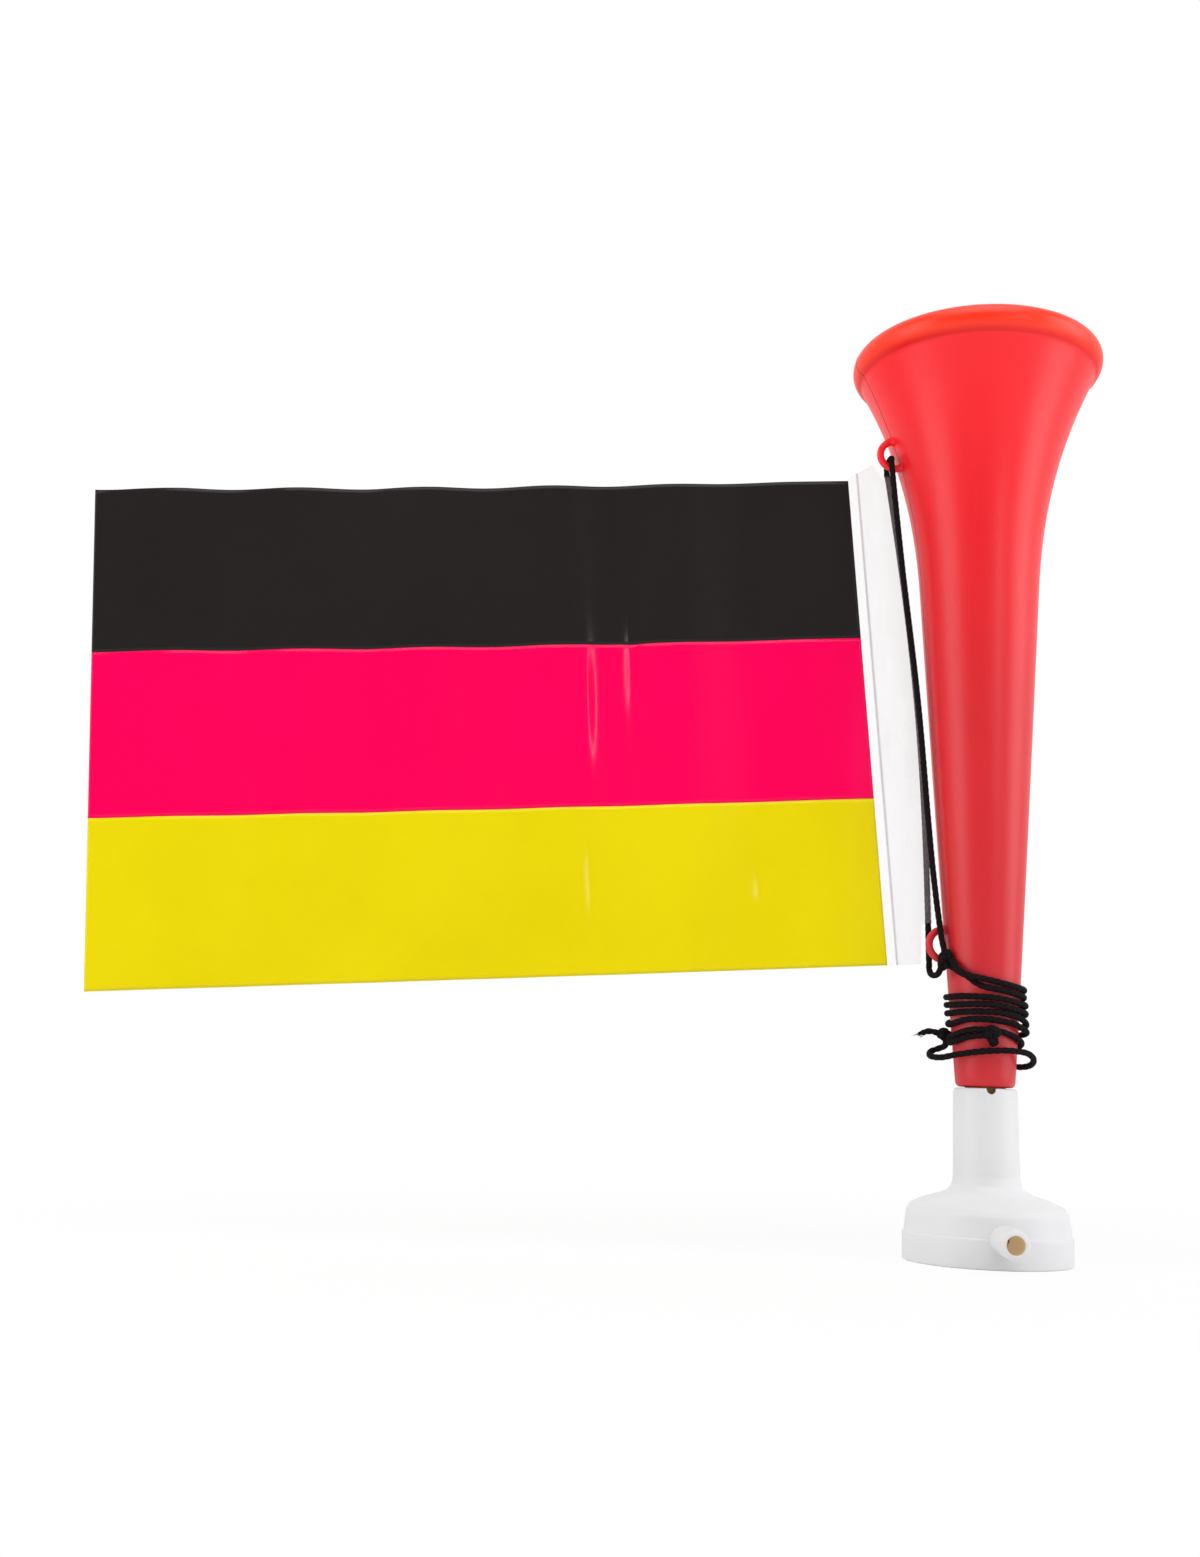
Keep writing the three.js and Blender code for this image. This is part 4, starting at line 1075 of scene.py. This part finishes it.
def flag_depth(out, height_share):
    """Belly + wave + creases, each eased in from the hem.

    belly = sag * sin(pi * along), and wave = size * sin(2 pi out / length), with a size
    that grows with the height and with the distance from the hem. Each crease is
    height * exp(-((out - place) / width)^2 - ((share - middle) / reach)^2), and its line
    bends a little to one side on its way up.
    """
    along = np.clip((out - HEM_WIDTH) / FLAG_LENGTH, 0, 1)
    ease = np.clip(along / STILL_SHARE, 0, 1) ** 2
    belly = FLAG_SAG * np.sin(np.pi * along)
    size = FLAG_WAVE * (WAVE_AT_FOOT + (1 - WAVE_AT_FOOT) * height_share)
    size = size * np.clip(along / WAVE_EASE, 0, 1)
    wave = size * np.sin(2 * np.pi * out / FLAG_WAVE_LENGTH)
    bend = CREASE_BEND * np.sin(3.0 * height_share + 0.6)
    creases = 0.0
    for place, height, width, middle, reach in CREASES:
        across = ((out - place - bend) / width) ** 2
        creases = creases + height * np.exp(-across - ((height_share - middle) / reach) ** 2)
    return ease * (belly + wave + creases)


def flag_band_mesh(name, low, high):
    """Grid of one colour band between two shares of the height; lower rows reach out further."""
    share = np.linspace(low, high, BAND_ROWS)[:, None]
    length = FLAG_LENGTH + FLAG_SKEW * (1 - share)
    out = HEM_WIDTH + np.linspace(0, 1, BAND_COLUMNS)[None, :] * length
    up = flag_foot(out) + share * FLAG_HEIGHT
    points = turn_group(flag_place(out, up, flag_depth(out, share)))
    return new_mesh(name, points.reshape(-1, 3), grid_quads(BAND_ROWS, BAND_COLUMNS)[:, ::-1])


print("flag, mm:", FLAG_LENGTH, "x", FLAG_HEIGHT)

# %% [markdown]
# The print sits under the film's own gloss, so a band is one strong colour with a clear,
# slightly wavy shine on top. The waviness is a bump pattern drawn out up the flag, far
# finer than the modelled creases.

# %% Printed film
FILM_CLOUDS = 22.0
FILM_RIPPLES = 60.0
FILM_DRAWN_OUT = (1.0, 1.0, 0.12)
FILM_RELIEF = 0.00022


def film_finish(name, colour, shade, roughness=0.17):
    """A flat print under gloss, with fine upright ripples in the film."""
    values = {"Roughness": roughness, "Specular IOR Level": 0.14}
    material, tree, shader, coordinates = new_finish(name, values)
    place = coordinates.outputs["Object"]
    clouds = noise(tree, place, FILM_CLOUDS, detail=2.0)
    ripples = noise(tree, place, FILM_RIPPLES, FILM_DRAWN_OUT, detail=3.0)
    tone = two_tone(tree, spread(tree, clouds, 0, 1), colour, shade)
    tree.links.new(tone, shader.inputs["Base Color"])
    gloss = spread(tree, ripples, roughness - 0.05, roughness + 0.08)
    tree.links.new(gloss, shader.inputs["Roughness"])
    add_bump(tree, shader, ripples, FILM_RELIEF)
    return material


# %% [markdown]
# From the foot up the bands are yellow, magenta red and black. Each is a sheet of its own
# with the same flat size, hung from the hoist strand, and swings with the flag's body.

# %% Bands
BANDS = {
    "flag_gold": ("yellow_film", (0.835, 0.700, 0.003), (0.80, 0.66, 0.002)),
    "flag_red": ("red_film", (1.0, 0.0, 0.104), (0.97, 0.0, 0.096)),
    "flag_black": ("black_film", (0.0195, 0.0165, 0.0158), (0.0175, 0.0150, 0.0143)),
}
for number, (node, (slot, colour, shade)) in enumerate(BANDS.items()):
    mesh = flag_band_mesh(node + "_print", BAND_EDGES[number], BAND_EDGES[number + 1])
    band = add_piece(mesh, film_finish(slot, colour, shade), "flag", [node])
    thicken(band, FILM_THICK)
print("bands:", ", ".join(BANDS))

# %% [markdown]
# Beside the print the film is left clear and folded back round the cord, then welded to
# itself in a line beside the hem. The film is one section, from the hem round the cord
# and back to the weld, carried up the hoist. Its foot and its sloped top are cut back
# beside the two eyes, so that the eyes stay clear of it.

# %% Sleeve surface
WELD_INSET = 3.6
SLEEVE_LENGTH = 180.0
SLEEVE_TOP_SLOPE = 0.53
FOLD_GAP = 0.3
LEAF_GAP = 0.1
LEAF_POINTS = 26
EYE_RELIEF_LOW = 2.4
EYE_RELIEF_HIGH = 3.6
LOW_EDGE_SOFTNESS = 0.12
HIGH_EDGE_SOFTNESS = 0.5
LOWER_RELIEF_UP = 6.55
UPPER_RELIEF_UP = 173.35
SLEEVE_TOP_STEP = 2.0
SLEEVE_ROWS = 181
PUCKER = 0.25


def sleeve_section():
    """Out and depth along the film: hem, front leaf, round the cord, back leaf to the weld."""
    weld = HEM_WIDTH - WELD_INSET
    fold = CORD_RADIUS + FOLD_GAP + FILM_THICK / 2
    touch = math.degrees(math.acos(fold / weld))
    turn = arc(0, 0, fold, -touch, touch - 360, 28)
    hem = np.stack([np.linspace(HEM_WIDTH, weld + 0.7, 6), np.zeros(6)], axis=1)
    front = np.linspace([weld, -LEAF_GAP], turn[0], LEAF_POINTS)[:-1]
    back = np.linspace(turn[-1], [weld, LEAF_GAP], LEAF_POINTS)[1:]
    tab = np.array([[weld + 0.5, 0.16]])
    return np.concatenate([hem, front, turn, back, tab])


def sleeve_points(section):
    """The section lofted from the flag's foot to its sloped top, cut back beside the eyes.

    The cut is a smooth step in the edge's height: low = foot + step * (relief - foot),
    where step = 1 / (1 + exp((out - place of the step) / softness)).
    """
    out, depth = section[:, 0][None, :], section[:, 1][None, :]
    near_low = 1 / (1 + np.exp((out - EYE_RELIEF_LOW) / LOW_EDGE_SOFTNESS))
    near_high = 1 / (1 + np.exp((out - EYE_RELIEF_HIGH) / HIGH_EDGE_SOFTNESS))
    foot = -FLAG_DROP + near_low * (LOWER_RELIEF_UP + FLAG_DROP)
    peak = FLAG_HEIGHT - FLAG_DROP + SLEEVE_TOP_STEP + (HEM_WIDTH - out) * SLEEVE_TOP_SLOPE
    top = peak - near_high * (peak - UPPER_RELIEF_UP)
    share = np.linspace(0, 1, SLEEVE_ROWS)[:, None]
    up = foot + (top - foot) * share
    weld = HEM_WIDTH - WELD_INSET
    slack = hoist_bow(up) * np.clip(1 - np.clip(out, 0, None) / weld, 0, 1)
    pucker = PUCKER * np.sin(up / 5.3 + out / 2.1) * np.sin(up / 17.0)
    pucker = pucker * np.clip((weld - out) / weld, 0, 1)
    return turn_group(flag_place(out - slack, up, depth + np.sign(depth) * np.abs(pucker)))


section = sleeve_section()
sleeve_grid = sleeve_points(section)

# %% [markdown]
# Clear film is never quite clear: it is hazy, it picks up the light, and two layers of it
# veil the cord inside. Where it is welded it shows a faint grey line. When the flag swings, the film bends
# between the cord, which hardly turns, and the hem, which swings fully. Here the sleeve and the hoist strand
# ride on no body, and their places are baked into their meshes.

# %% Sleeve film
FILM_PALE = (0.90, 0.86, 0.88)
FILM_WELDED = (0.42, 0.40, 0.42)
WELD_WIDTH = 0.35
WELD_DENSITY = 0.5
HAZE = 70.0
HAZE_DRAWN_OUT = (1, 1, 0.3)
HAZE_DENSITY = (0.06, 0.11)
HAZE_RELIEF = 0.0002
SLEEVE_FILM_THICK = 0.1


def sleeve_finish():
    """Hazy clear film: a pale body colour that mostly lets light by, with an even gloss."""
    values = {"Base Color": (*FILM_PALE, 1), "Roughness": 0.3, "Specular IOR Level": 0.3}
    material, tree, shader, coordinates = new_finish("sleeve_film", values)
    haze = noise(tree, coordinates.outputs["Object"], HAZE, HAZE_DRAWN_OUT, detail=3.0)
    weld = add_node(tree, "ShaderNodeAttribute", attribute_name="weld")
    tone = two_tone(tree, weld.outputs["Fac"], FILM_PALE, FILM_WELDED)
    tree.links.new(tone, shader.inputs["Base Color"])
    alpha = add_node(tree, "ShaderNodeMath", operation="MAXIMUM")
    tree.links.new(spread(tree, haze, *HAZE_DENSITY), alpha.inputs[0])
    tree.links.new(weld.outputs["Fac"], alpha.inputs[1])
    tree.links.new(alpha.outputs["Value"], shader.inputs["Alpha"])
    add_bump(tree, shader, haze, HAZE_RELIEF)
    return material


sleeve_quads = grid_quads(SLEEVE_ROWS, len(section))
sleeve_mesh = new_mesh("flag_sleeve_film", sleeve_grid.reshape(-1, 3), sleeve_quads)
from_weld = (section[:, 0] - HEM_WIDTH + WELD_INSET) / WELD_WIDTH
give_attribute(sleeve_mesh, "weld", np.tile(np.exp(-(from_weld**2)) * WELD_DENSITY, SLEEVE_ROWS))
sleeve = add_piece(sleeve_mesh, sleeve_finish(), None, ["flag_sleeve"])
thicken(sleeve, SLEEVE_FILM_THICK)
cord_and_hem = flag_place(np.array([0.0, HEM_WIDTH]), SLEEVE_LENGTH / 2, 0.0)
for piece in (sleeve, cords["cord_hoist_strand"]):
    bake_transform(piece)
print("blended across the hinge:", sleeve.name, cords["cord_hoist_strand"].name)

# %% [markdown]
# The horn stands on a pale floor under plain studio light. A picture for a shop has a
# white ground, so the camera sees the floor as white. Round the horn's foot the floor
# keeps the soft shadow, and further out it fades into white.

# %% Floor
FLOOR_SIZE = 8000.0
FLOOR_WHITE = 0.88
SHADOW_REACH = (0.10, 0.45)


def floor_finish():
    """Matt and pale; what is seen of it is lifted towards white, wholly so away from the horn."""
    material = bpy.data.materials.new("studio_floor")
    material.use_nodes = True
    tree = material.node_tree
    shader = tree.nodes["Principled BSDF"]
    shader.inputs["Base Color"].default_value = (0.86, 0.86, 0.86, 1)
    shader.inputs["Roughness"].default_value = 0.9
    rays = add_node(tree, "ShaderNodeLightPath")
    glow = add_node(tree, "ShaderNodeEmission", {"Strength": 1.0})
    place = add_node(tree, "ShaderNodeTexCoord")
    distance = add_node(tree, "ShaderNodeVectorMath", operation="LENGTH")
    tree.links.new(place.outputs["Object"], distance.inputs[0])
    white = spread(tree, distance.outputs["Value"], FLOOR_WHITE, 1.0, *SHADOW_REACH)
    share = add_node(tree, "ShaderNodeMath", operation="MULTIPLY")
    tree.links.new(white, share.inputs[1])
    mix = add_node(tree, "ShaderNodeMixShader")
    tree.links.new(rays.outputs["Is Camera Ray"], share.inputs[0])
    tree.links.new(share.outputs["Value"], mix.inputs["Fac"])
    tree.links.new(shader.outputs["BSDF"], mix.inputs[1])
    tree.links.new(glow.outputs["Emission"], mix.inputs[2])
    tree.links.new(mix.outputs["Shader"], tree.nodes["Material Output"].inputs["Surface"])
    return material


half = FLOOR_SIZE / 2
floor_points = [(-half, -half, 0), (half, -half, 0), (half, half, 0), (-half, half, 0)]
floor = new_object("floor", new_mesh("floor", floor_points, np.array([[0, 1, 2, 3]])))
floor.data.materials.append(floor_finish())
print("floor, m:", FLOOR_SIZE * MM)

# %% [markdown]
# The backdrop behind the horn is bright and rims its sides with light, and the room in
# front is dim. The world's strength goes from one to the other by the direction that a
# ray leaves in. A ray straight from the camera, or one that goes on through something
# clear, meets full white.

# %% Backdrop and room
BACKDROP_LIGHT = 0.9
ROOM_LIGHT = 0.165
ROOM_TO_BACKDROP = (-0.1, 0.35)
world = bpy.data.worlds.new("studio")
bpy.context.scene.world = world
world.use_nodes = True
tree = world.node_tree
background = tree.nodes["Background"]
background.inputs["Color"].default_value = (1, 1, 1, 1)
direction = add_node(tree, "ShaderNodeTexCoord")
parts = add_node(tree, "ShaderNodeSeparateXYZ")
tree.links.new(direction.outputs["Generated"], parts.inputs["Vector"])
level = spread(tree, parts.outputs["Y"], ROOM_LIGHT, BACKDROP_LIGHT, *ROOM_TO_BACKDROP)
rays = add_node(tree, "ShaderNodeLightPath")
seen = add_node(tree, "ShaderNodeMath", operation="MAXIMUM")
through = add_node(tree, "ShaderNodeMath", operation="MAXIMUM")
tree.links.new(rays.outputs["Is Camera Ray"], seen.inputs[0])
tree.links.new(rays.outputs["Is Transmission Ray"], seen.inputs[1])
tree.links.new(seen.outputs["Value"], through.inputs[0])
tree.links.new(level, through.inputs[1])
tree.links.new(through.outputs["Value"], background.inputs["Strength"])
print("backdrop light:", BACKDROP_LIGHT, "room light:", ROOM_LIGHT)

# %% [markdown]
# Two tall soft boxes stand left and right in front of the horn. Each draws one broad
# lighter band on the red cone and leaves a slightly deeper stripe between them, which is
# what shows that the form is round. A third one, high up in front, lights the tops of
# lip and dome. A narrow strip of light in front, on the right, draws the thin bright
# lines along the film's sharpest creases. Each light has its place, size and power.

# %% Soft boxes
LIGHTS = {
    "soft_box_left": ((-1.05, -0.45, 0.40), (0.7, 1.3), 7.3),
    "soft_box_right": ((1.05, -0.30, 0.45), (0.7, 1.3), 8.4),
    "top_fill": ((0.0, -0.6, 1.5), (1.2, 1.2), 11.0),
    "strip": ((0.54, -1.06, 0.48), (0.04, 0.40), 1.3),
}
LIGHT_TARGET = Vector((-0.06, 0.0, 0.18))
for name, (place, size, power) in LIGHTS.items():
    data = bpy.data.lights.new(name, "AREA")
    data.shape = "RECTANGLE"
    data.size, data.size_y = size
    data.energy = power
    light = new_object(name, data)
    aim = (LIGHT_TARGET - Vector(place)).to_track_quat("-Z", "Y")
    light.matrix_world = Matrix.Translation(place) @ aim.to_matrix().to_4x4()
print("lights:", ", ".join(LIGHTS))

# %% [markdown]
# Last, the colours are shown as they are written, without a film look.

# %% Finish
bpy.context.scene.view_settings.view_transform = "Standard"
